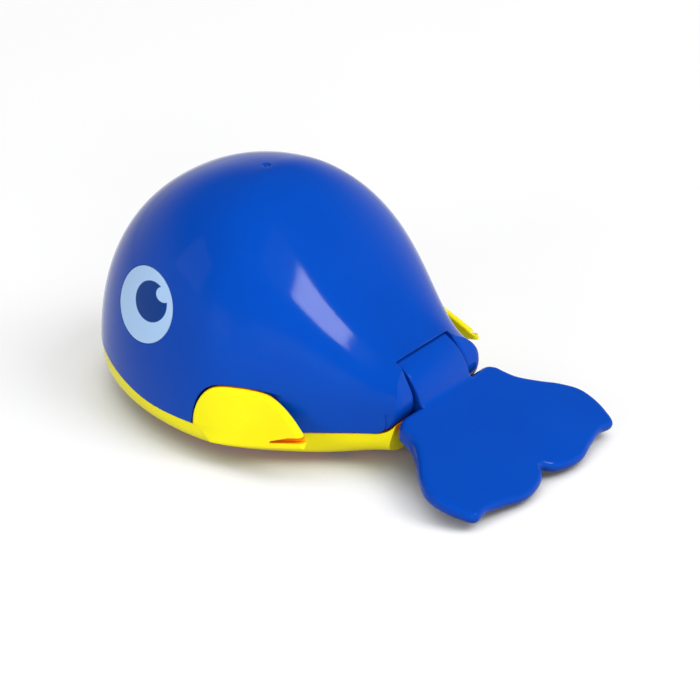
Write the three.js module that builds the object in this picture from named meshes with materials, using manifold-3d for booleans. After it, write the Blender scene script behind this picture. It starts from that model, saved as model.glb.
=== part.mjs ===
// Swimming whale bath toy: a clockwork whale whose tail flukes beat up and down.
// Millimetres, +Z up, the head towards -X. Lengths along the toy are stations, counted from the nose;
// the finished toy is centred over the origin and stands on Z = 0.

import * as THREE from "three";
import { mergeVertices } from "three/addons/utils/BufferGeometryUtils.js";
import Module from "manifold-3d";

const wasm = await Module();
wasm.setup();

// Dome and belly
const seamHeight = 10; // height of the widest level, where dome and belly start
const seamDip = 0.5; // the joint between the blue dome and the yellow belly lies this far below it
const seamRise = 3; // how far the joint rises again to the nose
const seamRun = 42; // where it starts to rise, from the nose
const seamCrest = 10; // where it has risen fully
const halfBeam = 39.5; // half of the greatest width
const beamStation = 52.1; // station of the greatest width
const nosePower = 1.95; // superellipse power of the nose, seen from above
const crownHeight = 59.6; // top of the dome
const crownStation = 44.9; // station of the dome's top
const browPower = 2.06; // superellipse power of the forehead, seen from the side
const stalkStation = 96; // where the tail stalk ends
const stalkHalfWidth = 17.3;
const stalkHeight = 24.5; // top of the tail stalk
const stalkTaper = -0.1; // slope of the half-width where the stalk ends
const stalkLift = 0.06; // slope of the top where the stalk ends
const domePower = 2.19; // superellipse power of the dome's cross-sections
const stalkPower = 3.4; // the same at the tail stalk, which is boxier
const keelDepth = 10.6; // belly depth below the seam before its foot is cut flat
const keelRiseStation = 74; // behind this station the belly's foot rises
const keelTailDepth = 7.1; // belly depth at the end of the tail stalk
const keelPower = 1.8; // superellipse power of the belly's rise to the nose
const bellyPower = 3; // superellipse power of the belly's cross-sections
const shellWall = 2;
const bellyStep = 0.4; // the belly's rim lies this far inside the dome's edge
const bellyEndStation = 95.9;
const bellyEndLean = 0.3; // the belly's rear face leans this far forward, for each unit down
const seamGap = 0.3;
const fitGap = 0.3; // between pieces that seat on each other

// Tail hinge
const hingeStation = 88.9;
const hingeHeight = 16.5;
const earRadius = 6.6;
const earSlope = 60; // degrees, of the ears' back above their rounded end
const earLip = 28; // degrees below the hinge axis, where the belly's rim ends round the ears
const barrelRadius = 8.1;
const barrelHalfWidth = 9.9;
const barrelGap = 0.4; // between the barrel and the ears, and over the barrel
const slotLead = 0.9; // the slot's front edge lies this far behind the hinge axis
const hingePinRadius = 1.6;
const hingePinHalfLength = 14.8;

// Tail flukes, drawn flat: reach from the hinge axis, and half-width
const tailDroop = 20.6; // degrees below the horizon, at rest
const flukeThickness = 3; // at the trailing edge
const flukeRootThickness = 5.7;
const flukeTop = 1.85; // top face above the hinge axis
const flukeRound = 1.4; // rounding of the edges
const flukeOutline = [
  [7.6, 15.8],
  [8, 17.4],
  [9.4, 18.9],
  [11.5, 19.6],
  [14.2, 20.7],
  [18.5, 24.5],
  [22.2, 28.4],
  [26.5, 31.3],
  [30.8, 31.7],
  [35.4, 30.6],
  [39, 28.5],
  [38.7, 23.8],
  [40, 17.8],
  [41.6, 11.9],
  [41.3, 6.9],
  [39.6, 2.4],
];
const flukeNotch = 37.5;
const rampStart = 103.5; // degrees round the barrel from the flukes' plane, where the ramp leaves it
const rampReach = 7.3; // where the ramp meets the fillet, from the hinge axis
const rampDrop = 1; // height of that place above the flukes' top face
const rampRadius = 13;

// Fins, moulded on the belly
const finFront = 52.3;
const finPeakStation = 61;
const finTip = 82;
const finTipHeight = 10.4; // lower edge of the tip
const finBlunt = 1.5; // least height of the fin, at its tip
const finPeakHeight = 21;
const finFootHeight = 5.6;
const finFrontPower = 2.6; // superellipse power of the fin's rise to its peak
const finFallPower = 2.15; // power of its fall from the peak to the tip
const finFootPower = 1.6; // power of its lower edge's rise to the tip
const finChin = 4; // the lower edge starts this much higher, in front
const finChinLength = 5;
const finProud = 0.4; // half-width over the fins' feet, beyond the greatest half-beam
const finSweep = 1.6; // how far the fin's face comes in towards the tip
const finLean = 0.45; // how far the fin leans in, for each unit of height
const finHug = 0.2; // the fin's front part stands this far out of the dome's skin
const finTuck = 0.3; // how far that part comes in below the seam, for each unit down
const finBlend = 1.6; // softness of the change between the two parts
const finThickness = 2.4;
const finRim = 2; // thickness at the upper edge
const finRimReach = 4; // the fin has its full thickness this far from it
const finSlotFront = 73; // a slot under the tip starts here and runs to the rear
const finSlotRamp = 4.5; // it opens over this length
const finSlotHeight = 1.15;
const finSlotLip = 1.5; // height of the lip below it
const finSlotWeb = 0.5; // thickness of the fin left behind it
const finGap = 0.4; // between a fin and the opening in the dome

// Eyes
const eyeStation = 32.5;
const eyeHeight = 32.3;
const eyeHalfWidth = 11.1;
const eyeHalfHeight = 8.9;
const eyeThickness = 0.5;

// Gate dimple on the crown
const dimpleStation = 44.2;
const dimpleRadius = 1.5;
const dimpleDepth = 0.7;

// Knob under the belly, in its well
const wellRadius = 14.5;
const wellCeiling = 8;
const wellRoof = 2; // thickness of the well's ceiling
const knobRadius = 12.4;
const knobFoot = 0.8; // the knob stays this far above the floor
const knobDisc = 2.6; // thickness of the knob's disc
const knobCeilingGap = 0.6;
const gripHalfWidth = 2.6;
const gripHalfLength = 11.4;
const knobScrewHead = 2.4;

// Winding shaft and its seal
const shaftRadius = 2;
const sealRadius = 4.2;
const sealThickness = 1.1;
const sealLip = 0.8;

// Gear train: module, teeth and face widths
const gearModule = 0.8;
const toothHeight = 1.1; // of each tooth, as a share of two modules
const greatTeeth = 32;
const pinionTeeth = 10;
const crownTeeth = 24;
const greatFace = 2;
const pinionFace = 3.6;
const crankPinionFace = 3;
const crownFace = 3;
const crownDisc = 1.5;
const arborRadius = 1.2;
const meshGap = 0.12; // added to each centre distance

// Ratchet and mainspring
const ratchetTeeth = 12;
const ratchetRadius = 6;
const ratchetDepth = 1;
const ratchetFace = 1.5;
const pawlLength = 5.5;
const pawlWidth = 1.8;
const springTurns = 5;
const springInner = 2.8;
const springOuter = 9.6;
const springStrip = 0.5;
const springHeight = 5;
const postRadius = 1.2;

// Crank and lever
const leverLength = 14; // hinge axis to the yoke's slot
const leverRise = 19; // degrees, of the lever above the horizon at rest
const crankThrow = 5.6;
const crankPinRadius = 1.25;
const crankPinLength = 5;
const crankDiscThickness = 2;
const crankArborRadius = 1.5;
const yokeThickness = 1.6;
const yokeWall = 1.6;
const yokePlay = 0.85; // each side of the crank pin, for the lever's tilt
const yokeArm = 1.6; // thickness of each side arm
const leverSeat = 2.7; // how deep the arms sit in the barrel
const leverRoom = 6; // above the hinge axis, for the lever in front of the barrel
const bearingThickness = 2.6;

// Gearbox
const plateThickness = 1.4;
const boxWall = 1.4;
const boxHalfWidth = 15.6;
const flangeHalfWidth = 20.8;
const boxFrontMargin = 1.8; // inside the box, in front of the great wheel
const springRoom = 1.2; // above and below the mainspring

// Screws
const shellScrewStations = [16, 78.5];
const shellScrewSides = [13, 16.6];
const shellScrewLength = 12;
const bossRadius = 3.2;
const screwRadius = 1.3;
const screwHeadRadius = 2.5;
const screwHeadHeight = 1.7;
const gearScrewRadius = 1;
const gearScrewHeadRadius = 2;
const gearScrewLength = 9;
const gearScrewInset = 2.9; // from the flange's corners

// How finely round shapes are cut into flat faces
const domeRings = [15, 17];
const domeArc = 26;
const innerRings = [9, 11];
const innerArc = 16;
const bellyArc = 18;
const barrelSides = 44;
const roundSides = 24;
const smallSides = 16;
const flukeSteps = 84;
const finSteps = 12;
const finRows = 5;
const springSteps = 18; // for each turn

const BLUE = 0x0a4fd0;
const YELLOW = 0xfff01e;
const PALE = 0xa9c6f7;
const WHITE = 0xeeeee8;
const STEEL = 0xb9bcc0;
const BRASS = 0xc9a24a;
const BLACK = 0x222222;

const up = new THREE.Vector3(0, 0, 1);
const degrees = THREE.MathUtils.degToRad;

// Solids: a closed geometry becomes a solid that can be joined and cut, and goes back to a geometry.

function solid(geometry) {
  const loose = geometry.index ? geometry.toNonIndexed() : geometry;
  const bare = new THREE.BufferGeometry();
  bare.setAttribute("position", loose.getAttribute("position"));
  const merged = mergeVertices(bare, 1e-4);
  const corners = merged.index.array;
  const kept = [];
  for (let i = 0; i < corners.length; i += 3) {
    const [a, b, c] = corners.slice(i, i + 3);
    if (a !== b && b !== c && c !== a) kept.push(a, b, c);
  }
  return new wasm.Manifold(
    new wasm.Mesh({
      numProp: 3,
      vertProperties: merged.attributes.position.array,
      triVerts: new Uint32Array(kept),
    }),
  );
}

function geometryOf(made) {
  const mesh = made.getMesh();
  const points = new Float32Array(mesh.numVert * 3);
  for (let i = 0; i < mesh.numVert; i++)
    points.set(mesh.vertProperties.subarray(i * mesh.numProp, i * mesh.numProp + 3), i * 3);
  const geometry = new THREE.BufferGeometry();
  geometry.setAttribute("position", new THREE.BufferAttribute(points, 3));
  geometry.setIndex(new THREE.BufferAttribute(new Uint32Array(mesh.triVerts), 1));
  return geometry;
}

const join = (first, ...others) => others.reduce((all, next) => all.add(next), first);
const cut = (body, ...tools) => tools.reduce((left, tool) => left.subtract(tool), body);

function rod(radius, from, to, sides = roundSides, endRadius = radius) {
  const axis = new THREE.Vector3().subVectors(to, from);
  const geometry = new THREE.CylinderGeometry(endRadius, radius, axis.length(), sides);
  geometry.translate(0, axis.length() / 2, 0);
  const turn = new THREE.Quaternion().setFromUnitVectors(new THREE.Vector3(0, 1, 0), axis.normalize());
  geometry.applyQuaternion(turn);
  geometry.translate(from.x, from.y, from.z);
  return solid(geometry);
}

const at = (x, y, z) => new THREE.Vector3(x, y, z);
const rodX = (radius, x0, x1, y, z, sides) => rod(radius, at(x0, y, z), at(x1, y, z), sides);
const rodY = (radius, x, y0, y1, z, sides) => rod(radius, at(x, y0, z), at(x, y1, z), sides);
const rodZ = (radius, x, y, z0, z1, sides) => rod(radius, at(x, y, z0), at(x, y, z1), sides);

function block(x0, x1, y0, y1, z0, z1) {
  const geometry = new THREE.BoxGeometry(x1 - x0, y1 - y0, z1 - z0);
  geometry.translate((x0 + x1) / 2, (y0 + y1) / 2, (z0 + z1) / 2);
  return solid(geometry);
}

// A flat outline in X and Z, thick along Y from y0 to y1.
function slabY(points, y0, y1) {
  const geometry = new THREE.ExtrudeGeometry(new THREE.Shape(points), { depth: y1 - y0, bevelEnabled: false });
  geometry.rotateX(Math.PI / 2);
  geometry.translate(0, y1, 0);
  return solid(geometry);
}

// A flat outline in X and Y, thick along Z from z0 to z1.
function slabZ(points, z0, z1) {
  const geometry = new THREE.ExtrudeGeometry(new THREE.Shape(points), { depth: z1 - z0, bevelEnabled: false });
  geometry.translate(0, 0, z0);
  return solid(geometry);
}

// A closed skin over a row of rings that all run anticlockwise seen from +X, with flat ends.
function loft(rings) {
  const count = rings[0].length;
  const middle = (ring) => ring.reduce((sum, p) => sum.add(p), at(0, 0, 0)).divideScalar(count);
  const triangles = [];
  const quad = (a, b, c, d) => triangles.push(a, b, c, a, c, d);
  const last = rings[rings.length - 1];
  const first = rings[0];
  for (let j = 0; j < count; j++) {
    const k = (j + 1) % count;
    for (let i = 0; i + 1 < rings.length; i++)
      quad(rings[i][j], rings[i][k], rings[i + 1][k], rings[i + 1][j]);
    triangles.push(middle(first), first[k], first[j], middle(last), last[j], last[k]);
  }
  const geometry = new THREE.BufferGeometry().setFromPoints(triangles);
  return solid(geometry);
}

// The whale's form

// A smooth change from one value to another, level at the start and with a given slope at the end.
function ease(x, x0, x1, y0, y1, slope = 0) {
  const t = THREE.MathUtils.clamp((x - x0) / (x1 - x0), 0, 1);
  return y0 + (y1 - y0) * t * t * (3 - 2 * t) + slope * (x1 - x0) * t * t * (t - 1);
}

const taper = (x, x0, x1, y0, y1) => y0 + (y1 - y0) * THREE.MathUtils.clamp((x - x0) / (x1 - x0), 0, 1);
const bulge = (share, power) => Math.max(0, 1 - Math.max(0, share) ** power) ** (1 / power);

function halfWidth(x, inset) {
  if (x < beamStation)
    return (halfBeam - inset) * bulge((beamStation - x) / (beamStation - inset), nosePower);
  return ease(x, beamStation, stalkStation, halfBeam, stalkHalfWidth, stalkTaper) - inset;
}

function domeTop(x, inset) {
  if (x < crownStation) {
    const rise = crownHeight - inset - seamHeight;
    return seamHeight + rise * bulge((crownStation - x) / (crownStation - inset), browPower);
  }
  return ease(x, crownStation, stalkStation, crownHeight, stalkHeight, stalkLift) - inset;
}

const sectionPower = (x) => ease(x, crownStation, stalkStation, domePower, stalkPower);

function keel(x, inset) {
  const share = x < beamStation ? (beamStation - x) / (beamStation - inset) : 0;
  const depth = ease(x, keelRiseStation, stalkStation, keelDepth, keelTailDepth);
  return (depth - inset) * bulge(share, keelPower);
}

// Stations that crowd towards the blunt nose, then run evenly to the end.
function stations(inset, end, [front, rear]) {
  const list = [];
  for (let i = 0; i < front; i++) {
    const share = Math.cos((i / front) * (Math.PI / 2)) ** (2 / nosePower);
    list.push(beamStation - (beamStation - inset) * share);
  }
  for (let i = 0; i <= rear; i++) list.push(beamStation + ((end - beamStation) * i) / rear);
  return list;
}

// Points of half a superellipse, from +Y over the top to -Y, or from -Y under the keel to +Y.
function arc(x, width, height, power, count, sense) {
  const points = [];
  for (let j = 0; j <= count; j++) {
    const turn = (Math.PI * j) / count;
    const side = Math.cos(turn);
    const y = sense * width * Math.sign(side) * Math.abs(side) ** (2 / power);
    const lift = Math.abs(Math.sin(turn)) ** (2 / power);
    points.push(at(x, y, seamHeight + sense * height * lift));
  }
  return points;
}

const skirt = 4; // the dome's form runs on this far below the seam before it is trimmed

function domeForm(inset, fine) {
  const rings = fine ? domeRings : innerRings;
  const steps = fine ? domeArc : innerArc;
  return loft(
    stations(inset, stalkStation + inset, rings).map((x) => {
      const width = halfWidth(x, inset);
      const foot = seamHeight - skirt - inset;
      const over = arc(x, width, domeTop(x, inset) - seamHeight, sectionPower(x), steps, 1);
      return [at(x, width, foot), ...over, at(x, -width, foot)];
    }),
  );
}

function bellyForm(inset, rings) {
  const inside = inset + bellyStep;
  const rim = hingeHeight + inset;
  const end = inset > 0 ? bellyEndStation - bellyEndLean * hingeHeight - inset : bellyEndStation;
  return loft(
    stations(inside, end, rings).map((x) => {
      const width = halfWidth(x, inside);
      const under = arc(x, width, keel(x, inset), bellyPower, bellyArc, -1);
      return [at(x, -width, rim), ...under, at(x, width, rim)];
    }),
  );
}

const seamLevel = seamHeight - seamDip;

// What lies above the seam: down from the nose, level to the tail stalk, then round under the ears.
function aboveSeam(gap) {
  const reach = stalkStation + shellWall + earRadius;
  const radius = earRadius + gap;
  const lowest = hingeHeight - radius;
  const level = Math.min(seamLevel - gap, lowest);
  const blend = hingeStation - earRadius;
  const points = [];
  for (let i = 0; i <= smallSides; i++) {
    const x = ((seamRun + shellWall) * i) / smallSides - shellWall;
    points.push(new THREE.Vector2(x, level + ease(x, seamCrest, seamRun, seamRise, 0)));
  }
  points.push(new THREE.Vector2(blend, level), new THREE.Vector2(hingeStation, lowest));
  for (let i = 1; i <= smallSides; i++) {
    const turn = ((degrees(90 - earLip) * i) / smallSides) - Math.PI / 2;
    points.push(
      new THREE.Vector2(hingeStation + radius * Math.cos(turn), hingeHeight + radius * Math.sin(turn)),
    );
  }
  const lip = points[points.length - 1].y;
  points.push(new THREE.Vector2(reach, lip), new THREE.Vector2(reach, crownHeight + shellWall));
  points.push(new THREE.Vector2(-shellWall, crownHeight + shellWall));
  return slabY(points, -2 * halfBeam, 2 * halfBeam);
}

// The rear end that both ears share, seen from the side: round, with a sloping back.
function earEnd() {
  const slope = degrees(earSlope);
  const lean = degrees(90) - slope;
  const points = [new THREE.Vector2(-shellWall, 0), new THREE.Vector2(hingeStation, 0)];
  for (let i = 0; i <= roundSides; i++) {
    const turn = -Math.PI / 2 + ((Math.PI / 2 + lean) * i) / roundSides;
    points.push(
      new THREE.Vector2(hingeStation + earRadius * Math.cos(turn), hingeHeight + earRadius * Math.sin(turn)),
    );
  }
  const back = points[points.length - 1];
  const rise = crownHeight + shellWall - back.y;
  points.push(new THREE.Vector2(back.x - rise / Math.tan(slope), crownHeight + shellWall));
  points.push(new THREE.Vector2(-shellWall, crownHeight + shellWall));
  return slabY(points, -halfBeam, halfBeam);
}

// Half-width of the dome's skin at a station and height.
function domeSide(x, z) {
  const share = (z - seamHeight) / (domeTop(x, 0) - seamHeight);
  return halfWidth(x, 0) * bulge(share, sectionPower(x));
}

// Fins: a thin vane that hugs the dome in front and stands out behind, as a leaning, swept face.
// A margin widens it for the dome's opening.

function finFace(x, z) {
  const flare = ease(x, finFront, finTip, halfBeam + finProud, halfBeam + finProud - finSweep);
  const standing = flare - finLean * (z - finFootHeight);
  const hugging = domeSide(x, z) + finHug - finTuck * Math.max(0, seamHeight - z);
  return (standing + hugging + Math.hypot(standing - hugging, finBlend)) / 2;
}

// The fin's lower and upper edge at a station.
function finEdges(x, margin) {
  const front = finFront - margin;
  const tip = finTip + margin;
  const rise = Math.max(0, (finPeakStation - x) / (finPeakStation - front));
  const fall = Math.max(0, (x - finPeakStation) / (tip - finPeakStation));
  const root = rise > 0 ? finFootHeight : finTipHeight + finBlunt;
  const arch = rise > 0 ? bulge(rise, finFrontPower) : 1 - fall ** finFallPower;
  const chin = finChin * Math.max(0, 1 - (x - front) / finChinLength);
  const along = (x - front) / (tip - front);
  const low = finFootHeight + (finTipHeight - finFootHeight) * along ** finFootPower + chin - margin;
  return [low, Math.max(root + (finPeakHeight - root) * arch + margin, low + finBlunt)];
}

const finDepth = (below) => taper(below, 0, finRimReach, finRim, finThickness);

function finVane(side, margin, outward) {
  const front = finFront - margin;
  const tip = finTip + margin;
  const rings = [];
  for (let i = 0; i <= finSteps; i++) {
    const x = front + (tip - front) * ((1 - Math.cos((Math.PI * i) / finSteps)) / 2);
    const [low, top] = finEdges(x, margin);
    const outer = [];
    const inner = [];
    for (let j = 0; j <= finRows; j++) {
      const z = low + (top - low) * (j / finRows);
      const y = finFace(x, z);
      const thickness = finDepth(margin > 0 ? finRimReach : top - z);
      outer.push(at(x, side * (y + outward), z));
      inner.unshift(at(x, side * (y - thickness - margin), z));
    }
    const ring = [...outer, ...inner];
    rings.push(side > 0 ? ring : ring.reverse());
  }
  return loft(rings);
}

// The slot under the fin's tip: it opens towards the rear and leaves a web of the fin behind it.
function finSlot(side) {
  const rings = [];
  for (let i = 0; i <= finSteps; i++) {
    const x = finSlotFront + ((finTip + finGap - finSlotFront) * i) / finSteps;
    const [low, top] = finEdges(Math.min(x, finTip), 0);
    const foot = low + finSlotLip;
    const ring = [];
    for (const [high, deep] of [[0, 0], [1, 0], [1, 1], [0, 1]]) {
      const z = foot + high * taper(x - finSlotFront, 0, finSlotRamp, finGap, finSlotHeight);
      const bed = Math.max(finDepth(Math.max(0, top - z)) - finSlotWeb, 0);
      ring.push(at(x, side * (finFace(x, z) + (deep ? -bed : finThickness)), z));
    }
    rings.push(side > 0 ? ring : ring.reverse());
  }
  return loft(rings);
}

// Where the eye sits on the dome, and the direction it faces.
function eyePlace(side) {
  const onDome = (x, z) => at(x, side * domeSide(x, z), z);
  const step = 0.5;
  const along = onDome(eyeStation + step, eyeHeight).sub(onDome(eyeStation - step, eyeHeight));
  const rise = onDome(eyeStation, eyeHeight + step).sub(onDome(eyeStation, eyeHeight - step));
  const facing = along.cross(rise).normalize().multiplyScalar(-side);
  return { centre: onDome(eyeStation, eyeHeight), facing };
}

// A rod with the eye's oval section, wider by a margin, that runs through the dome's skin.
function eyeRod(side, margin) {
  const { centre, facing } = eyePlace(side);
  const along = up.clone().cross(facing).normalize();
  const rise = facing.clone().cross(along);
  const geometry = new THREE.CylinderGeometry(1, 1, eyeHalfWidth, 2 * roundSides);
  geometry.rotateX(Math.PI / 2);
  geometry.scale(eyeHalfWidth + margin, eyeHalfHeight + margin, 1);
  geometry.applyMatrix4(new THREE.Matrix4().makeBasis(along, rise, facing).setPosition(centre));
  return solid(geometry);
}

// Stations and heights of the works, each taken from its neighbour

const axleHeight = hingeHeight;
const pitchRadius = (teeth) => (gearModule * teeth) / 2;
const yokeStation = hingeStation - leverLength;
const crankFace = yokeStation - yokeThickness - crankPinRadius / 2;
const crankBack = crankFace - crankDiscThickness;
const bearingRear = crankBack - fitGap;
const bearingFront = bearingRear - bearingThickness;
const boxRear = bearingFront - fitGap;
const crankPinionRear = boxRear - boxWall - 2 * fitGap;
const crankPinionStation = crankPinionRear - crankPinionFace / 2;
const secondStation = crankPinionStation - pitchRadius(crownTeeth);
const shaftStation = secondStation - pitchRadius(greatTeeth) - pitchRadius(pinionTeeth) - meshGap;
const toothTip = toothHeight * gearModule * 0.75;
const greatOuter = pitchRadius(greatTeeth) + toothTip;
const boxFront = shaftStation - greatOuter - boxFrontMargin - boxWall;

const wellRoofTop = wellCeiling + wellRoof;
const baseFoot = wellRoofTop + fitGap;
const baseTop = baseFoot + plateThickness;
const coverFoot = baseTop + fitGap;
const flangeTop = coverFoot + plateThickness;
const greatFoot = flangeTop;
const ratchetFoot = greatFoot + greatFace + fitGap;
const secondFoot = baseTop + fitGap;
const crownPitchHeight = axleHeight + pitchRadius(pinionTeeth) + meshGap;
const crownTip = crownPitchHeight - toothTip;
const crownDiscFoot = crownPitchHeight + toothTip + meshGap;
const springFoot = crownDiscFoot + crownDisc + springRoom;
const coverCeiling = springFoot + springHeight + springRoom;
const coverTop = coverCeiling + boxWall;
const knobTop = wellCeiling - knobCeilingGap;
const knobDiscFoot = knobTop - knobDisc;
const shaftFoot = knobFoot + knobScrewHead + fitGap;
const columnFoot = seamLevel;
const bossTop = columnFoot - fitGap;
const screwSeat = bossTop - 2 * shellWall;
const gearScrewPlaces = [
  [boxFront + gearScrewInset, flangeHalfWidth - gearScrewInset],
  [boxFront + gearScrewInset, gearScrewInset - flangeHalfWidth],
  [boxRear - gearScrewInset, gearScrewInset - flangeHalfWidth],
];
const shellScrewPlaces = shellScrewStations.flatMap((x, i) => [
  [x, shellScrewSides[i]],
  [x, -shellScrewSides[i]],
]);
const gearScrewTip = flangeTop + fitGap - gearScrewLength;
const shellScrewTip = screwSeat + shellScrewLength;

// Shells

function upperShell() {
  let shell = domeForm(0, true);
  const hollow = domeForm(shellWall, false);
  const insideDome = domeForm(shellWall / 2, false);
  const earFrom = hingeStation - earRadius - shellWall;
  const cheek = barrelHalfWidth + barrelGap;
  const tailEnd = block(earFrom, stalkStation + earRadius, -halfBeam, halfBeam, 0, crownHeight);
  const hollowAhead = cut(hollow, tailEnd);
  shell = cut(shell, hollowAhead);
  for (const [x, y] of shellScrewPlaces)
    shell = join(shell, rodZ(bossRadius, x, y, columnFoot, crownHeight).intersect(insideDome));
  shell = shell.intersect(aboveSeam(0)).intersect(earEnd());
  const barrelRoom = rodY(barrelRadius + barrelGap, hingeStation, -cheek, cheek, hingeHeight, barrelSides);
  const slotFront = hingeStation + slotLead;
  const slot = block(slotFront, stalkStation + earRadius, -cheek, cheek, 0, crownHeight);
  const under = block(earFrom - shellWall, slotFront, -cheek, cheek, 0, hingeHeight);
  const leverTop = hingeHeight + leverRoom;
  const leverWay = block(earFrom - shellWall, hingeStation - earRadius, -cheek, cheek, hingeHeight, leverTop);
  const bore = hingePinRadius + fitGap;
  const pinReach = hingePinHalfLength + fitGap;
  const pinBore = rodY(bore, hingeStation, -pinReach, pinReach, hingeHeight, smallSides);
  shell = cut(shell, barrelRoom, slot, under, leverWay, pinBore);
  for (const [x, y] of shellScrewPlaces)
    shell = cut(shell, rodZ(screwRadius + fitGap, x, y, 0, shellScrewTip + fitGap, smallSides));
  const eyeBed = cut(domeForm(-eyeThickness, false), domeForm(eyeThickness + fitGap, true));
  for (const side of [-1, 1]) {
    shell = cut(shell, finVane(side, finGap, 2 * finThickness));
    shell = cut(shell, eyeRod(side, fitGap).intersect(eyeBed));
  }
  const crown = domeTop(dimpleStation, 0);
  const dimple = new THREE.SphereGeometry(dimpleRadius, smallSides, smallSides / 2);
  dimple.translate(dimpleStation, 0, crown + dimpleRadius - dimpleDepth);
  return cut(shell, solid(dimple));
}

function eye(side) {
  const layer = cut(domeForm(0, true), domeForm(eyeThickness, true));
  return eyeRod(side, 0).intersect(layer);
}

// What lies behind the belly's leaning rear face.
function bellyEnd() {
  const foot = bellyEndStation - bellyEndLean * hingeHeight;
  const beyond = bellyEndStation + stalkStation;
  const corners = [
    new THREE.Vector2(foot - bellyEndLean * keelDepth, -keelDepth),
    new THREE.Vector2(beyond, -keelDepth),
    new THREE.Vector2(beyond, hingeHeight),
    new THREE.Vector2(bellyEndStation, hingeHeight),
  ];
  return slabY(corners, -halfBeam, halfBeam);
}

function bellyShell() {
  const outer = bellyForm(0, domeRings);
  const wellSkin = rodZ(wellRadius + shellWall, shaftStation, 0, 0, wellRoofTop, 2 * roundSides);
  let shell = cut(outer, bellyForm(shellWall, innerRings));
  const posts = shellScrewPlaces.map(([x, y]) => rodZ(bossRadius + shellWall / 2, x, y, 0, bossTop));
  posts.push(...gearScrewPlaces.map(([x, y]) => rodZ(bossRadius, x, y, 0, wellRoofTop)));
  const inside = posts.map((post) => post.intersect(outer));
  shell = join(shell, wellSkin.intersect(outer), ...inside);
  const room = barrelHalfWidth + barrelGap;
  const tailRoom = barrelRadius + barrelGap;
  shell = cut(
    shell,
    aboveSeam(seamGap),
    block(hingeStation - tailRoom, finTip + hingeStation, -room, room, hingeHeight - tailRoom, crownHeight),
    rodZ(wellRadius, shaftStation, 0, -keelDepth, wellCeiling, 2 * roundSides),
    rodZ(shaftRadius + 2 * fitGap, shaftStation, 0, 0, crownHeight, smallSides),
    rodZ(sealRadius + fitGap, shaftStation, 0, wellCeiling + sealLip, crownHeight),
    block(-shellWall, stalkStation, -halfBeam, halfBeam, -keelDepth, 0),
    bellyEnd(),
  );
  for (const side of [-1, 1]) shell = join(shell, cut(finVane(side, 0, 0), finSlot(side)));
  for (const [x, y] of shellScrewPlaces) {
    shell = cut(shell, rodZ(screwHeadRadius + fitGap, x, y, -keelDepth, screwSeat, smallSides));
    shell = cut(shell, rodZ(screwRadius + fitGap, x, y, 0, crownHeight, smallSides));
  }
  for (const [x, y] of gearScrewPlaces)
    shell = cut(shell, rodZ(gearScrewRadius + fitGap, x, y, gearScrewTip - fitGap, crownHeight, smallSides));
  return shell;
}

// Tail: built level about its hinge axis, then dropped to its rest angle

function flukePlate() {
  const left = flukeOutline.map(([reach, half]) => at(reach, half, 0));
  const right = left.toReversed().map((p) => at(p.x, -p.y, 0));
  const edge = new THREE.CatmullRomCurve3([...left, at(flukeNotch, 0, 0), ...right], false, "centripetal");
  const root = barrelHalfWidth - flukeRound - fitGap;
  const shoulder = left[0].x;
  const outline = edge.getPoints(flukeSteps).map((p) => new THREE.Vector2(p.x, p.y));
  outline.push(new THREE.Vector2(shoulder, -root), new THREE.Vector2(shoulder / 2, -root));
  outline.push(new THREE.Vector2(shoulder / 2, root), new THREE.Vector2(shoulder, root));
  const shape = new THREE.Shape(outline);
  const geometry = new THREE.ExtrudeGeometry(shape, {
    depth: flukeThickness - 2 * flukeRound,
    bevelThickness: flukeRound,
    bevelSize: flukeRound,
    bevelOffset: -flukeRound,
    bevelSegments: 3,
  });
  geometry.translate(0, 0, flukeTop - flukeThickness + flukeRound);
  const places = geometry.getAttribute("position");
  const rim = flukeTop - flukeRound;
  for (let i = 0; i < places.count; i++) {
    const thickness = taper(places.getX(i), shoulder, flukeNotch, flukeRootThickness, flukeThickness);
    const growth = (thickness - flukeRound) / (flukeThickness - flukeRound);
    if (places.getZ(i) < rim) places.setZ(i, rim - (rim - places.getZ(i)) * growth);
  }
  return solid(geometry);
}

// The barrel, with the ramp and the hollow fillet that lead from its top to the flukes' top face.
function rootBar() {
  const start = degrees(rampStart);
  const from = new THREE.Vector2(barrelRadius * Math.cos(start), barrelRadius * Math.sin(start));
  const to = new THREE.Vector2(rampReach, flukeTop + rampDrop);
  const chord = to.clone().sub(from);
  const half = Math.asin(chord.length() / (2 * rampRadius));
  const fall = half - chord.angle() + 2 * Math.PI;
  const steps = smallSides / 2;
  const points = [];
  const bend = (x, z, radius, first, last) => {
    for (let i = 0; i <= steps; i++) {
      const turn = first + ((last - first) * i) / steps;
      points.push(new THREE.Vector2(x + radius * Math.cos(turn), z + radius * Math.sin(turn)));
    }
  };
  const lean = Math.PI / 2 - fall;
  const x = to.x - rampRadius * Math.cos(lean);
  bend(x, to.y - rampRadius * Math.sin(lean), rampRadius, lean + 2 * half, lean);
  const fillet = rampDrop / (1 - Math.cos(fall));
  points.pop();
  const end = to.x + fillet * Math.sin(fall);
  bend(end, flukeTop + fillet, fillet, -Math.PI / 2 - fall, -Math.PI / 2);
  points.push(new THREE.Vector2(end, flukeTop - flukeRound));
  for (let i = 0; i < barrelSides; i++) {
    const turn = -lean / 2 - ((2 * Math.PI - start - lean / 2) * i) / barrelSides;
    points.push(new THREE.Vector2(barrelRadius * Math.cos(turn), barrelRadius * Math.sin(turn)));
  }
  return slabY(points, -barrelHalfWidth, barrelHalfWidth);
}

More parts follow.
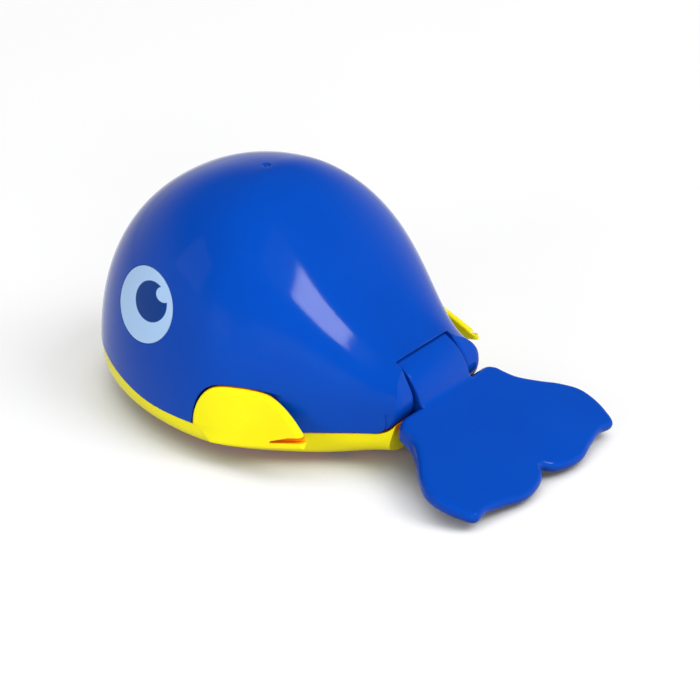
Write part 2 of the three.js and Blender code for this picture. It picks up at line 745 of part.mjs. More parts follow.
const droop = new THREE.Matrix4()
  .makeTranslation(hingeStation, 0, hingeHeight)
  .multiply(new THREE.Matrix4().makeRotationY(degrees(tailDroop)));
const leverTurn = new THREE.Matrix4()
  .makeTranslation(hingeStation, 0, hingeHeight)
  .multiply(new THREE.Matrix4().makeRotationY(degrees(leverRise)));
const placed = (made, matrix) => solid(geometryOf(made).applyMatrix4(matrix));

// The lever's two arms, growing by a margin for the pockets they sit in.
function leverArms(margin) {
  const outer = barrelHalfWidth - yokeArm / 2 + margin;
  const inner = outer - yokeArm - 2 * margin;
  const deep = barrelRadius - leverSeat - margin;
  const half = yokeWall + margin;
  return [-1, 1].map((side) =>
    block(-leverLength, -deep, Math.min(side * inner, side * outer), Math.max(side * inner, side * outer), -half, half),
  );
}

function tailFlukes() {
  const tail = placed(join(rootBar(), flukePlate()), droop);
  const bore = rodY(hingePinRadius + fitGap, hingeStation, -halfBeam, halfBeam, hingeHeight, smallSides);
  const pockets = leverArms(fitGap).map((arm) => placed(arm, leverTurn));
  return cut(tail, bore, ...pockets);
}

function tailLever() {
  const tall = crankPinRadius + yokePlay + yokeWall;
  const wide = barrelHalfWidth - yokeArm / 2;
  const slotHalf = crankPinRadius + yokePlay;
  const slotReach = wide - yokeArm;
  const front = -leverLength - yokeThickness / 2;
  const plate = block(front, front + yokeThickness, -wide, wide, -tall, tall);
  const slot = block(front - 1, front + yokeThickness + 1, -slotReach, slotReach, -slotHalf, slotHalf);
  return placed(cut(join(plate, ...leverArms(0)), slot), leverTurn);
}

// Wheels

// Straight-sided teeth round a pitch circle: each has a root, two flanks and a flat tip.
function toothedOutline(teeth, turn) {
  const pitch = pitchRadius(teeth);
  const step = (2 * Math.PI) / teeth;
  const points = [];
  const corners = [
    [-0.32, pitch - toothTip - meshGap],
    [-0.1, pitch + toothTip],
    [0.1, pitch + toothTip],
    [0.32, pitch - toothTip - meshGap],
  ];
  for (let i = 0; i < teeth; i++)
    for (const [share, radius] of corners) {
      const angle = turn + step * (i + share);
      points.push(new THREE.Vector2(radius * Math.cos(angle), radius * Math.sin(angle)));
    }
  return points;
}

function spurWheel(teeth, turn, x, y, z0, z1, bore) {
  const wheel = slabZ(toothedOutline(teeth, turn), z0, z1).translate([x, y, 0]);
  return cut(wheel, rodZ(bore, x, y, z0 - 1, z1 + 1, smallSides));
}

function greatWheel() {
  const bore = shaftRadius + fitGap;
  const wheel = spurWheel(greatTeeth, 0, shaftStation, 0, greatFoot, greatFoot + greatFace, bore);
  const hub = rodZ(2 * shaftRadius, shaftStation, 0, baseTop + fitGap, greatFoot + greatFace);
  const [x, y] = pawlPivot();
  return cut(
    join(wheel, hub),
    rodZ(bore, shaftStation, 0, 0, crownHeight, smallSides),
    rodZ(pawlWidth / 2 + fitGap, x, y, 0, crownHeight, smallSides),
  );
}

function pawlPivot() {
  const radius = ratchetRadius + pawlWidth + fitGap;
  return [shaftStation - radius * Math.SQRT1_2, radius * Math.SQRT1_2];
}

// Ratchet teeth: a long back and a steep front.
function ratchetWheel() {
  const points = [];
  for (let i = 0; i < ratchetTeeth; i++)
    for (const [share, radius] of [
      [0, ratchetRadius],
      [0.9, ratchetRadius - ratchetDepth],
    ]) {
      const angle = ((i + share) / ratchetTeeth) * 2 * Math.PI;
      points.push(new THREE.Vector2(radius * Math.cos(angle), radius * Math.sin(angle)));
    }
  const wheel = slabZ(points, ratchetFoot, ratchetFoot + ratchetFace).translate([shaftStation, 0, 0]);
  return cut(wheel, rodZ(shaftRadius + fitGap, shaftStation, 0, 0, crownHeight, smallSides));
}

function ratchetPawl() {
  const [x, y] = pawlPivot();
  const half = pawlWidth / 2;
  const top = ratchetFoot + ratchetFace;
  const finger = block(0, pawlLength, -half, half, ratchetFoot, top);
  const along = new THREE.Matrix4()
    .makeTranslation(x, y, 0)
    .multiply(new THREE.Matrix4().makeRotationZ(degrees(45)));
  const head = rodZ(half, x, y, greatFoot + fitGap, top, smallSides);
  return join(placed(finger, along), head);
}

function crownWheel() {
  const pitch = pitchRadius(crownTeeth);
  const inner = pitch - crownFace / 2;
  const outer = pitch + crownFace / 2;
  const discTop = crownDiscFoot + crownDisc;
  let wheel = join(
    rodZ(outer, secondStation, 0, crownDiscFoot, discTop, 2 * roundSides),
    rodZ(2 * arborRadius + fitGap, secondStation, 0, secondFoot + pinionFace + fitGap, discTop),
  );
  const step = (2 * Math.PI) / crownTeeth;
  const root = 0.26 * gearModule * Math.PI;
  const tip = 0.12 * gearModule * Math.PI;
  const tooth = slabX([
    [-root, crownDiscFoot + meshGap],
    [-tip, crownTip],
    [tip, crownTip],
    [root, crownDiscFoot + meshGap],
  ], inner, outer - meshGap);
  for (let i = 0; i < crownTeeth; i++) {
    const turn = new THREE.Matrix4().makeRotationZ(step * (i + 0.5)).setPosition(secondStation, 0, 0);
    wheel = join(wheel, placed(tooth, turn));
  }
  return cut(wheel, rodZ(arborRadius + fitGap, secondStation, 0, 0, crownHeight, smallSides));
}

// A flat outline in Y and Z, thick along X from x0 to x1.
function slabX(points, x0, x1) {
  const outline = points.map(([y, z]) => new THREE.Vector2(y, z));
  const geometry = new THREE.ExtrudeGeometry(new THREE.Shape(outline), { depth: x1 - x0, bevelEnabled: false });
  geometry.rotateX(Math.PI / 2);
  geometry.rotateZ(Math.PI / 2);
  geometry.translate(x0, 0, 0);
  return solid(geometry);
}

function crankPinion() {
  const outline = toothedOutline(pinionTeeth, Math.PI / 2).map((p) => [p.x, p.y]);
  const front = crankPinionRear - crankPinionFace;
  const wheel = slabX(outline, front, crankPinionRear).translate([0, 0, axleHeight]);
  return cut(wheel, rodX(crankArborRadius + fitGap, front - 1, crankPinionRear + 1, 0, axleHeight, smallSides));
}

// Crank at rest: its pin is level with the yoke's slot.
const pinLift = leverLength * Math.sin(degrees(leverRise));
const pinSide = Math.sqrt(crankThrow ** 2 - pinLift ** 2);
const crankPinHeight = axleHeight + pinLift;

function crankDisc() {
  const disc = rodX(crankThrow + 2 * crankPinRadius, crankBack, crankFace, 0, axleHeight, 2 * roundSides);
  return cut(
    disc,
    rodX(crankArborRadius + fitGap, 0, crankFace - fitGap, 0, axleHeight, smallSides),
    rodX(crankPinRadius + fitGap, 0, hingeStation, pinSide, crankPinHeight, smallSides),
  );
}

// Mainspring: a flat strip wound in a spiral, open at both ends.
function mainspring() {
  const steps = springTurns * springSteps;
  const spiral = (share, side) => {
    const angle = 2 * Math.PI * springTurns * share;
    const radius = springInner + (springOuter - springInner) * share + (side * springStrip) / 2;
    return [radius * Math.cos(angle), radius * Math.sin(angle)];
  };
  const rings = [];
  for (let i = 0; i <= steps; i++) {
    const [x0, y0] = spiral(i / steps, -1);
    const [x1, y1] = spiral(i / steps, 1);
    const top = springFoot + springHeight;
    rings.push([at(x0, y0, springFoot), at(x0, y0, top), at(x1, y1, top), at(x1, y1, springFoot)]);
  }
  return loft(rings).translate([shaftStation, 0, 0]);
}

// Gearbox

function gearboxBase() {
  const half = flangeHalfWidth;
  const rear = bearingRear;
  let base = join(
    block(boxFront, rear, -half, half, baseFoot, baseTop),
    block(bearingFront, rear, -2 * bearingThickness, 2 * bearingThickness, baseFoot, axleHeight + bearingThickness),
  );
  base = cut(
    base,
    rodZ(shaftRadius + fitGap, shaftStation, 0, 0, crownHeight, smallSides),
    rodZ(arborRadius + fitGap, secondStation, 0, 0, crownHeight, smallSides),
    rodX(crankArborRadius + fitGap, bearingFront - 1, rear + 1, 0, axleHeight, smallSides),
  );
  for (const [x, y] of gearScrewPlaces)
    base = cut(base, rodZ(gearScrewRadius + fitGap, x, y, 0, crownHeight, smallSides));
  return base;
}

function gearboxCover() {
  const half = flangeHalfWidth;
  const room = boxHalfWidth - boxWall;
  let cover = join(
    block(boxFront, boxRear, -half, half, coverFoot, flangeTop),
    block(boxFront, boxRear, -boxHalfWidth, boxHalfWidth, coverFoot, coverTop),
  );
  const slot = crankArborRadius + 2 * fitGap;
  cover = cut(
    cover,
    block(boxFront + boxWall, boxRear - boxWall, -room, room, 0, coverCeiling),
    block(boxRear - 2 * boxWall, boxRear + 1, -slot, slot, 0, axleHeight + slot),
    rodZ(shaftRadius + fitGap, shaftStation, 0, 0, crownHeight, smallSides),
    rodZ(arborRadius + fitGap, secondStation, 0, 0, crownHeight, smallSides),
    rodZ(postRadius + fitGap, postStation, 0, 0, crownHeight, smallSides),
  );
  for (const [x, y] of gearScrewPlaces)
    cover = cut(cover, rodZ(gearScrewRadius + fitGap, x, y, 0, crownHeight, smallSides));
  return cover;
}

const postStation = shaftStation - springOuter - springStrip - postRadius - fitGap;

// Knob, shaft and screws

function windingKnob() {
  const x = shaftStation;
  const disc = rodZ(knobRadius, x, 0, knobDiscFoot, knobTop, 2 * roundSides);
  const grip = block(x - gripHalfWidth, x + gripHalfWidth, -gripHalfLength, gripHalfLength, knobFoot, knobTop);
  const rounded = grip.intersect(rodZ(knobRadius, x, 0, 0, knobTop, 2 * roundSides));
  return cut(
    join(disc, rounded),
    rodZ(shaftRadius + fitGap, x, 0, shaftFoot - fitGap, crownHeight, smallSides),
    rodZ(gearScrewRadius + fitGap, x, 0, 0, crownHeight, smallSides),
    rodZ(gearScrewHeadRadius + fitGap, x, 0, 0, knobFoot + screwHeadHeight, smallSides),
  );
}

function windingShaft() {
  const shaft = rodZ(shaftRadius, shaftStation, 0, shaftFoot, coverTop - fitGap);
  return cut(shaft, rodZ(gearScrewRadius + fitGap, shaftStation, 0, 0, wellRoofTop, smallSides));
}

function knobScrew() {
  const seat = knobFoot + screwHeadHeight - fitGap;
  return join(
    rodZ(gearScrewHeadRadius, shaftStation, 0, knobFoot + fitGap, seat, smallSides),
    rodZ(gearScrewRadius, shaftStation, 0, knobFoot + fitGap, wellCeiling, smallSides),
  );
}

function shaftSeal() {
  const foot = wellCeiling + sealLip + fitGap / 2;
  return cut(
    rodZ(sealRadius, shaftStation, 0, foot, foot + sealThickness),
    rodZ(shaftRadius + fitGap, shaftStation, 0, 0, crownHeight, smallSides),
  );
}

function shellScrew(x, y) {
  const seat = screwSeat - fitGap;
  return join(
    rodZ(screwHeadRadius, x, y, seat - screwHeadHeight, seat, smallSides),
    rodZ(screwRadius, x, y, seat - screwHeadHeight, shellScrewTip, smallSides),
  );
}

function gearboxScrew(x, y) {
  const seat = flangeTop + fitGap;
  return join(
    rodZ(gearScrewHeadRadius, x, y, seat, seat + screwHeadHeight, smallSides),
    rodZ(gearScrewRadius, x, y, gearScrewTip, seat + screwHeadHeight, smallSides),
  );
}

// Assembly

const whale = new THREE.Group();

function add(name, made, color, roughness = 0.3, metalness = 0) {
  const material = new THREE.MeshStandardMaterial({ color, roughness, metalness });
  const mesh = new THREE.Mesh(geometryOf(made), material);
  mesh.name = name;
  whale.add(mesh);
}

add("upper_shell", upperShell(), BLUE, 0.2);
add("belly_shell", bellyShell(), YELLOW, 0.25);
add("eye_left", eye(-1), PALE, 0.3);
add("eye_right", eye(1), PALE, 0.3);
add("tail_flukes", tailFlukes(), BLUE, 0.2);
add("tail_lever", tailLever(), WHITE, 0.5);
add(
  "tail_hinge_pin",
  rodY(hingePinRadius, hingeStation, -hingePinHalfLength, hingePinHalfLength, hingeHeight, smallSides),
  STEEL,
  0.3,
  1,
);
add("gearbox_base", gearboxBase(), WHITE, 0.5);
add("gearbox_cover", gearboxCover(), WHITE, 0.5);
add("winding_knob", windingKnob(), BLUE, 0.3);
add("knob_screw", knobScrew(), STEEL, 0.3, 1);
add("winding_shaft", windingShaft(), STEEL, 0.3, 1);
add("shaft_seal", shaftSeal(), BLACK, 0.8);
add("mainspring", mainspring(), STEEL, 0.35, 1);
add(
  "spring_post",
  rodZ(postRadius, postStation, 0, springFoot, coverTop - fitGap, smallSides),
  STEEL,
  0.3,
  1,
);
add("ratchet_wheel", ratchetWheel(), BRASS, 0.4, 1);
add("ratchet_pawl", ratchetPawl(), STEEL, 0.4, 1);
add("great_wheel", greatWheel(), WHITE, 0.5);
add(
  "second_arbor",
  rodZ(arborRadius, secondStation, 0, baseFoot + fitGap, coverTop - fitGap, smallSides),
  STEEL,
  0.3,
  1,
);
add(
  "second_pinion",
  spurWheel(
    pinionTeeth,
    Math.PI / pinionTeeth,
    secondStation,
    0,
    secondFoot,
    secondFoot + pinionFace,
    arborRadius + fitGap,
  ),
  WHITE,
  0.5,
);
add("crown_wheel", crownWheel(), WHITE, 0.5);
add(
  "crank_arbor",
  rodX(crankArborRadius, crankPinionRear - crankPinionFace - fitGap, crankFace - 2 * fitGap, 0, axleHeight, smallSides),
  STEEL,
  0.3,
  1,
);
add("crank_pinion", crankPinion(), WHITE, 0.5);
add("crank_disc", crankDisc(), WHITE, 0.5);
add(
  "crank_pin",
  rodX(crankPinRadius, crankBack + fitGap, crankFace + crankPinLength, pinSide, crankPinHeight, smallSides),
  STEEL,
  0.3,
  1,
);
shellScrewPlaces.forEach(([x, y], i) => add("shell_screw_" + (i + 1), shellScrew(x, y), STEEL, 0.35, 1));
gearScrewPlaces.forEach(([x, y], i) => add("gearbox_screw_" + (i + 1), gearboxScrew(x, y), STEEL, 0.35, 1));

const box = new THREE.Box3().setFromObject(whale);
whale.position.x = -(box.min.x + box.max.x) / 2;

export default whale;
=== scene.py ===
"""Dressed scene of a clockwork bath whale: glossy shells, printed eyes, flukes and the works inside."""

from __future__ import annotations

import logging
import math
from collections.abc import Sequence
from dataclasses import dataclass, field
from enum import Enum

import bmesh
import bpy
from mathutils import Matrix, Vector

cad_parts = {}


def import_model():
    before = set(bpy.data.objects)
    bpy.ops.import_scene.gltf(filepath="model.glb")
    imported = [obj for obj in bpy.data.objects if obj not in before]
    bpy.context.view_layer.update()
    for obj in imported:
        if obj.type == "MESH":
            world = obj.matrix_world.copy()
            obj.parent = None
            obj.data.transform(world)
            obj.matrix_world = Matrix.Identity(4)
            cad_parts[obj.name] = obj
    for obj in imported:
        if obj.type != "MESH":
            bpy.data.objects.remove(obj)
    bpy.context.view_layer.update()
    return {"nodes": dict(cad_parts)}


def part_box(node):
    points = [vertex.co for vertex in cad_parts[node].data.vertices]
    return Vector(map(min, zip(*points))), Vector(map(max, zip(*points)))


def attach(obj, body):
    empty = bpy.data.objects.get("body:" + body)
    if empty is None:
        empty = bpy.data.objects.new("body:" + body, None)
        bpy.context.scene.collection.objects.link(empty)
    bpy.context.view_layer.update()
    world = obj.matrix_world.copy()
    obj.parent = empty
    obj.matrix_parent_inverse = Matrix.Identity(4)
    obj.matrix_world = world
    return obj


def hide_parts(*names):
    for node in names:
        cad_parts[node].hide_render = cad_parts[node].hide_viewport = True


log = logging.getLogger("whale")

MM = 0.001
LEVEL = 1e-6
RIM_STEPS = 4
EDGE_SAMPLES = 6

# Stations and heights in millimetres that clear the whole toy
AHEAD = -5.0
ASTERN = 120.0
UNDER = -20.0
ABOVE = 80.0

RGB = tuple[float, float, float]
Point = tuple[float, float, float]
Pair = tuple[float, float]
Profile = Sequence[Pair]
Grain = tuple[int, int, int]


class Body(Enum):
    """The rigid bodies that pieces ride on."""

    HULL = "hull"
    TAIL = "tail"
    WINDING = "winding"


class Slot(Enum):
    """The record's material slots."""

    BLUE = "blue_plastic"
    YELLOW = "yellow_plastic"
    EYE = "eye_print"
    WHITE = "white_plastic"
    STEEL = "steel"
    BRASS = "brass"
    RUBBER = "black_rubber"


class Side(Enum):
    """The whale's own left and right, as the sign of Y."""

    LEFT = -1
    RIGHT = 1


@dataclass(frozen=True)
class Socket:
    """One output of a shader node, with arithmetic that adds Math nodes."""

    shade: Shade
    out: bpy.types.NodeSocket

    def _math(self, operation: str, first: Socket | float, second: Socket | float) -> Socket:
        """Adds one Math node with two values or links."""
        return self.shade.node("ShaderNodeMath", 0, {"operation": operation}, {0: first, 1: second})

    def __add__(self, other: Socket | float) -> Socket:
        """Sum."""
        return self._math("ADD", self, other)

    def __radd__(self, other: float) -> Socket:
        """Sum with a number first."""
        return self._math("ADD", other, self)

    def __sub__(self, other: Socket | float) -> Socket:
        """Difference."""
        return self._math("SUBTRACT", self, other)

    def __rsub__(self, other: float) -> Socket:
        """Difference with a number first."""
        return self._math("SUBTRACT", other, self)

    def __mul__(self, other: Socket | float) -> Socket:
        """Product."""
        return self._math("MULTIPLY", self, other)

    def __rmul__(self, other: float) -> Socket:
        """Product with a number first."""
        return self._math("MULTIPLY", other, self)

    def __truediv__(self, other: Socket | float) -> Socket:
        """Quotient."""
        return self._math("DIVIDE", self, other)

    def __rtruediv__(self, other: float) -> Socket:
        """Quotient with a number first."""
        return self._math("DIVIDE", other, self)

    def __pow__(self, other: float) -> Socket:
        """Power."""
        return self._math("POWER", self, other)

    def greater(self, other: Socket | float) -> Socket:
        """The larger of two values."""
        return self._math("MAXIMUM", self, other)

    def step(self, low: float, high: float) -> Socket:
        """A smooth step from 0 at low to 1 at high."""
        settings = {"interpolation_type": "SMOOTHSTEP"}
        return self.shade.node("ShaderNodeMapRange", 0, settings, {0: self, 1: low, 2: high, 3: 0.0, 4: 1.0})


class Shade:
    """A node tree under construction, for a material or the world."""

    def __init__(self, tree: bpy.types.NodeTree, target: str) -> None:
        """Clears the tree.

        Args:
            tree: The node tree to fill.
            target: The type of its output node.
        """
        self.tree = tree
        self.tree.nodes.clear()
        self.target = self.tree.nodes.new(target)

    def node(
        self,
        kind: str,
        output: int | str = 0,
        settings: dict[str, object] | None = None,
        sockets: dict[int | str, object] | None = None,
    ) -> Socket:
        """Adds one node: its settings first, then its sockets' values or links.

        Args:
            kind: The node's type.
            output: The output that is wanted.
            settings: The node's own settings.
            sockets: Values or links by socket name or number.

        Returns:
            The wanted output.
        """
        made = self.tree.nodes.new(kind)
        for key, value in (settings or {}).items():
            setattr(made, key, value)
        for key, value in (sockets or {}).items():
            entry = made.inputs[key]
            if isinstance(value, Socket):
                self.tree.links.new(value.out, entry)
            elif entry.type == "RGBA" and len(value) == 3:
                entry.default_value = (*value, 1.0)
            else:
                entry.default_value = value
        return Socket(self, made.outputs[output])

    def place(self) -> Socket:
        """Object coordinates, in metres."""
        return self.node("ShaderNodeTexCoord", "Object")

    def noise(self, where: Socket, size: float, detail: float, rough: float = 0.5) -> Socket:
        """Soft noise.

        Args:
            where: The coordinates that it follows.
            size: Size of its lumps in millimetres.
            detail: Octaves.
            rough: How strong the finer octaves are.

        Returns:
            Values about 0.5.
        """
        sockets = {"Vector": where, "Scale": 1.0 / (size * MM), "Detail": detail, "Roughness": rough}
        return self.node("ShaderNodeTexNoise", sockets=sockets)

    def mix(self, factor: Socket | float, first: Socket | RGB, second: Socket | RGB) -> Socket:
        """Blends two colours: a factor of 0 gives the first and 1 the second."""
        return self.node("ShaderNodeMix", 2, {"data_type": "RGBA"}, {0: factor, 6: first, 7: second})

    def openness(self, reach: float, samples: int) -> Socket:
        """How open the surface lies, from 0 in a crease to 1, with a reach in millimetres."""
        return self.node("ShaderNodeAmbientOcclusion", "AO", {"samples": samples}, {"Distance": reach * MM})

    def soft_edge(self, radius: float) -> Socket:
        """A normal that rounds every edge by a radius in millimetres."""
        return self.node("ShaderNodeBevel", 0, {"samples": EDGE_SAMPLES}, {"Radius": radius * MM})

    def bump(self, strength: float, depth: float, height: Socket, normal: Socket | None = None) -> Socket:
        """Raises the skin by a height.

        Args:
            strength: How much of it shows.
            depth: What a height of 1 means in millimetres.
            height: The height.
            normal: The normal that it starts from, if not the surface's own.

        Returns:
            The raised normal.
        """
        sockets = {"Strength": strength, "Distance": depth * MM, "Height": height}
        if normal is not None:
            sockets["Normal"] = normal
        return self.node("ShaderNodeBump", sockets=sockets)

    def ray(self, kind: str) -> Socket:
        """1 for rays of one kind."""
        return self.node("ShaderNodeLightPath", kind)

    def shown(self, gloss: Socket | float = 1.0) -> Socket:
        """1 for rays from the camera or through glass, and the share given for rays from gloss."""
        seen = self.ray("Is Camera Ray").greater(self.ray("Is Transmission Ray"))
        return seen.greater(self.ray("Is Glossy Ray") * gloss)

    def finish(self, result: Socket) -> None:
        """Joins the result to the tree's output."""
        self.tree.links.new(result.out, self.target.inputs["Surface"])

    def principled(self, sockets: dict[str, object]) -> None:
        """Ends the tree with the Principled shader."""
        self.finish(self.node("ShaderNodeBsdfPrincipled", sockets=sockets))


def material_shade(name: str) -> tuple[bpy.types.Material, Shade]:
    """Starts a new material.

    Args:
        name: The material's name.

    Returns:
        The material and its shade.
    """
    material = bpy.data.materials.new(name)
    material.use_nodes = True
    return material, Shade(material.node_tree, "ShaderNodeOutputMaterial")


@dataclass(frozen=True)
class Moulded:
    """Moulded plastic: flow marks in the colour, faint scuffs in the gloss, a fine peel in the skin, and
    painted shade in creases.
    """

    name: str
    colour: RGB
    flow: RGB
    # Colour painted in as shade in creases and close to other surfaces
    painted_shade: RGB
    roughness: float
    scuff: float
    peel: float
    edge: float
    # Reach, strength, band and samples of the painted shade
    painted_shade_reach: float = 6.0
    painted_shade_share: float = 0.9
    painted_shade_band: Pair = (0.25, 0.95)
    painted_shade_samples: int = 8
    flow_size: float = 26.0
    flow_band: Pair = (0.35, 0.75)
    flow_scuff: float = 0.5
    scuff_size: float = 3.0
    scuff_band: Pair = (0.52, 0.8)
    peel_size: float = 1.1
    peel_depth: float = 0.02
    shine: float = 0.1
    bend: float = 1.47

    def material(self) -> bpy.types.Material:
        """Builds the material.

        Returns:
            The material.
        """
        material, shade = material_shade(self.name)
        where = shade.place()
        marks = shade.noise(where, self.flow_size, 3.0, 0.55).step(*self.flow_band)
        body = shade.mix(marks, self.colour, self.flow)
        # Painted shade: where ambient occlusion finds creases or nearby surfaces, the colour turns towards
        # the shade colour
        shaded = 1.0 - shade.openness(self.painted_shade_reach, self.painted_shade_samples).step(*self.painted_shade_band)
        scuffs = shade.noise(where, self.scuff_size, 4.0, 0.65).step(*self.scuff_band)
        skin = shade.noise(where, self.peel_size, 2.0)
        shade.principled(
            {
                "Base Color": shade.mix(shaded * self.painted_shade_share, body, self.painted_shade),
                "Roughness": self.roughness + scuffs * self.scuff + marks * (self.scuff * self.flow_scuff),
                "Normal": shade.bump(self.peel, self.peel_depth, skin, shade.soft_edge(self.edge)),
                "IOR": self.bend,
                "Specular IOR Level": self.shine,
            }
        )
        return material


@dataclass(frozen=True)
class Metal:
    """Drawn or stamped metal: streaks along one axis, and dull spots."""

    name: str
    colour: RGB
    dull: RGB
    roughness: float
    streak: Point
    streak_size: float = 0.4
    streak_depth: float = 0.02
    streak_strength: float = 0.25
    streak_gloss: float = 0.15
    spot_size: float = 2.5
    spot_band: Pair = (0.5, 0.8)
    spot_share: float = 0.6
    spot_gloss: float = 0.12

    def material(self) -> bpy.types.Material:
        """Builds the material.

        Returns:
            The material.
        """
        material, shade = material_shade(self.name)
        where = shade.place()
        drawn = {"Vector": where, "Scale": self.streak}
        along = shade.node("ShaderNodeMapping", 0, {"vector_type": "POINT"}, drawn)
        streaks = shade.noise(along, self.streak_size, 3.0, 0.6)
        spots = shade.noise(where, self.spot_size, 4.0, 0.6).step(*self.spot_band)
        shade.principled(
            {
                "Base Color": shade.mix(spots * self.spot_share, self.colour, self.dull),
                "Roughness": self.roughness + streaks * self.streak_gloss + spots * self.spot_gloss,
                "Metallic": 1.0,
                "Normal": shade.bump(self.streak_strength, self.streak_depth, streaks),
            }
        )
        return material


@dataclass(frozen=True)
class Rubber:
    """Soft black rubber with a dusty bloom."""

    name: str
    colour: RGB
    bloom: RGB
    dust_size: float = 1.5
    dust_depth: float = 0.05
    dust_strength: float = 0.3
    dust_band: Pair = (0.45, 0.8)
    dust_gloss: float = 0.2
    roughness: float = 0.65

    def material(self) -> bpy.types.Material:
        """Builds the material.

        Returns:
            The material.
        """
        material, shade = material_shade(self.name)
        dust = shade.noise(shade.place(), self.dust_size, 4.0, 0.6)
        shade.principled(
            {
                "Base Color": shade.mix(dust.step(*self.dust_band), self.colour, self.bloom),
                "Roughness": dust * self.dust_gloss + self.roughness,
                "Normal": shade.bump(self.dust_strength, self.dust_depth, dust),
            }
        )
        return material


@dataclass(frozen=True)
class EyePrint:
    """A round eye printed in pale ink over a blue pupil, read from the piece's own map."""

    name: str
    ink: RGB
    blue: RGB
    pupil: Pair = (0.225, 0.19)
    pupil_size: Pair = (0.56, 0.535)
    glint: Pair = (0.56, 0.535)
    glint_size: Pair = (0.235, 0.195)
    feather: float = 0.012
    grain_size: float = 0.5
    grain_band: Pair = (0.3, 0.8)
    grain_share: float = 0.25
    grain_gloss: float = 0.06
    grain_height: float = 0.15
    faint_ink: float = 0.9
    ink_depth: float = 0.03
    ink_strength: float = 0.3
    roughness: float = 0.3
    bare_gloss: float = 0.1
    edge: float = 0.15
    shine: float = 0.1

    def _inside(self, across: Socket, rise: Socket, centre: Pair, size: Pair) -> Socket:
        """A soft-edged ellipse.

        Args:
            across: The map's first coordinate.
            rise: The map's second coordinate.
            centre: The ellipse's middle.
            size: Its two half-widths.

        Returns:
            1 inside and 0 outside.
        """
        wide = (across - centre[0]) / size[0]
        tall = (rise - centre[1]) / size[1]
        reach = (wide * wide + tall * tall) ** 0.5
        feather = self.feather / min(size)
        return 1.0 - reach.step(1.0 - feather, 1.0 + feather)

    def material(self) -> bpy.types.Material:
        """Builds the material.

        Returns:
            The material.
        """
        material, shade = material_shade(self.name)
        spot = shade.node("ShaderNodeUVMap", 0, {"uv_map": "eye"})
        across, rise = (
            (shade.node("ShaderNodeSeparateXYZ", axis, None, {0: spot}) - 0.5) * 2.0 for axis in "XY"
        )
        pupil = self._inside(across, rise, self.pupil, self.pupil_size)
        glint = self._inside(across, rise, self.glint, self.glint_size)
        bare = pupil * (1.0 - glint)
        grain = shade.noise(shade.place(), self.grain_size, 2.0, 0.6)
        faint = tuple(channel * self.faint_ink for channel in self.ink)
        inked = shade.mix(grain.step(*self.grain_band) * self.grain_share, self.ink, faint)
        height = grain * self.grain_height - bare
        shade.principled(
            {
                "Base Color": shade.mix(bare, inked, self.blue),
                "Roughness": self.roughness - bare * self.bare_gloss + grain * self.grain_gloss,
                "Normal": shade.bump(self.ink_strength, self.ink_depth, height, shade.soft_edge(self.edge)),
                "Specular IOR Level": self.shine,
            }
        )
        return material


def extruded(bm: bmesh.types.BMesh) -> set[bmesh.types.BMVert]:
    """Doubles a sheet into a closed form, and gives the second sheet's vertices."""
    made = bmesh.ops.extrude_face_region(bm, geom=bm.faces[:])
    return {item for item in made["geom"] if isinstance(item, bmesh.types.BMVert)}


def level_edges(bm: bmesh.types.BMesh, axis: int) -> list[bmesh.types.BMEdge]:
    """The edges that lie square to an axis, which is 0 for X, 1 for Y and 2 for Z."""
    return [e for e in bm.edges if abs(e.verts[0].co[axis] - e.verts[1].co[axis]) < LEVEL]


def soften(
    bm: bmesh.types.BMesh, edges: Sequence[bmesh.types.BMEdge], radius: float, steps: int, clamp: bool
) -> None:
    """Rounds edges.

    Args:
        bm: The shape.
        edges: The edges.
        radius: How much is taken off.
        steps: Facets across each rounding.
        clamp: Whether roundings that would meet are held apart.
    """
    bmesh.ops.bevel(
        bm,
        geom=edges,
        offset=radius,
        affect="EDGES",
        segments=steps,
        profile=0.5,
        material=-1,
        clamp_overlap=clamp,
    )


def slab(corners: Sequence[Point], along: Point) -> bmesh.types.BMesh:
    """A flat outline made thick.

    Args:
        corners: The outline's corners.
        along: The way and the distance to its other face.

    Returns:
        The slab.
    """
    bm = bmesh.new()
    bmesh.ops.create_circle(bm, cap_ends=True, segments=len(corners), radius=1.0)
    bm.verts.ensure_lookup_table()
    for vert, corner in zip(bm.verts, corners):
        vert.co = corner
    bmesh.ops.translate(bm, verts=list(extruded(bm)), vec=along)
    bmesh.ops.recalc_face_normals(bm, faces=bm.faces)
    return bm


def bar(radius: float, length: float, sides: int, place: Matrix) -> bmesh.types.BMesh:
    """A round bar along its own Z.

    Args:
        radius: Its radius.
        length: Its length.
        sides: Facets round it.
        place: Where its middle goes, and how it is turned.

    Returns:
        The bar.
    """
    bm = bmesh.new()
    bmesh.ops.create_cone(
        bm, cap_ends=True, segments=sides, radius1=radius, radius2=radius, depth=length, matrix=place
    )
    return bm


def brick(low: Point, high: Point) -> bmesh.types.BMesh:
    """A box between two corners.

    Args:
        low: Its lowest corner.
        high: Its highest corner.

    Returns:
        The box.
    """
    bm = bmesh.new()
    size = Vector(high) - Vector(low)
    middle = (Vector(high) + Vector(low)) / 2
    place = Matrix.Translation(middle) @ Matrix.Diagonal((*size, 1.0))
    bmesh.ops.create_cube(bm, size=1.0, matrix=place)
    return bm


def sheet(across: int, up: int) -> bmesh.types.BMesh:
    """A flat grid of squares, from -1 to 1 both ways.

    Args:
        across: Squares along X.
        up: Squares along Y.

    Returns:
        The grid.
    """
    bm = bmesh.new()
    bmesh.ops.create_grid(bm, x_segments=across, y_segments=up, size=1.0)
    return bm


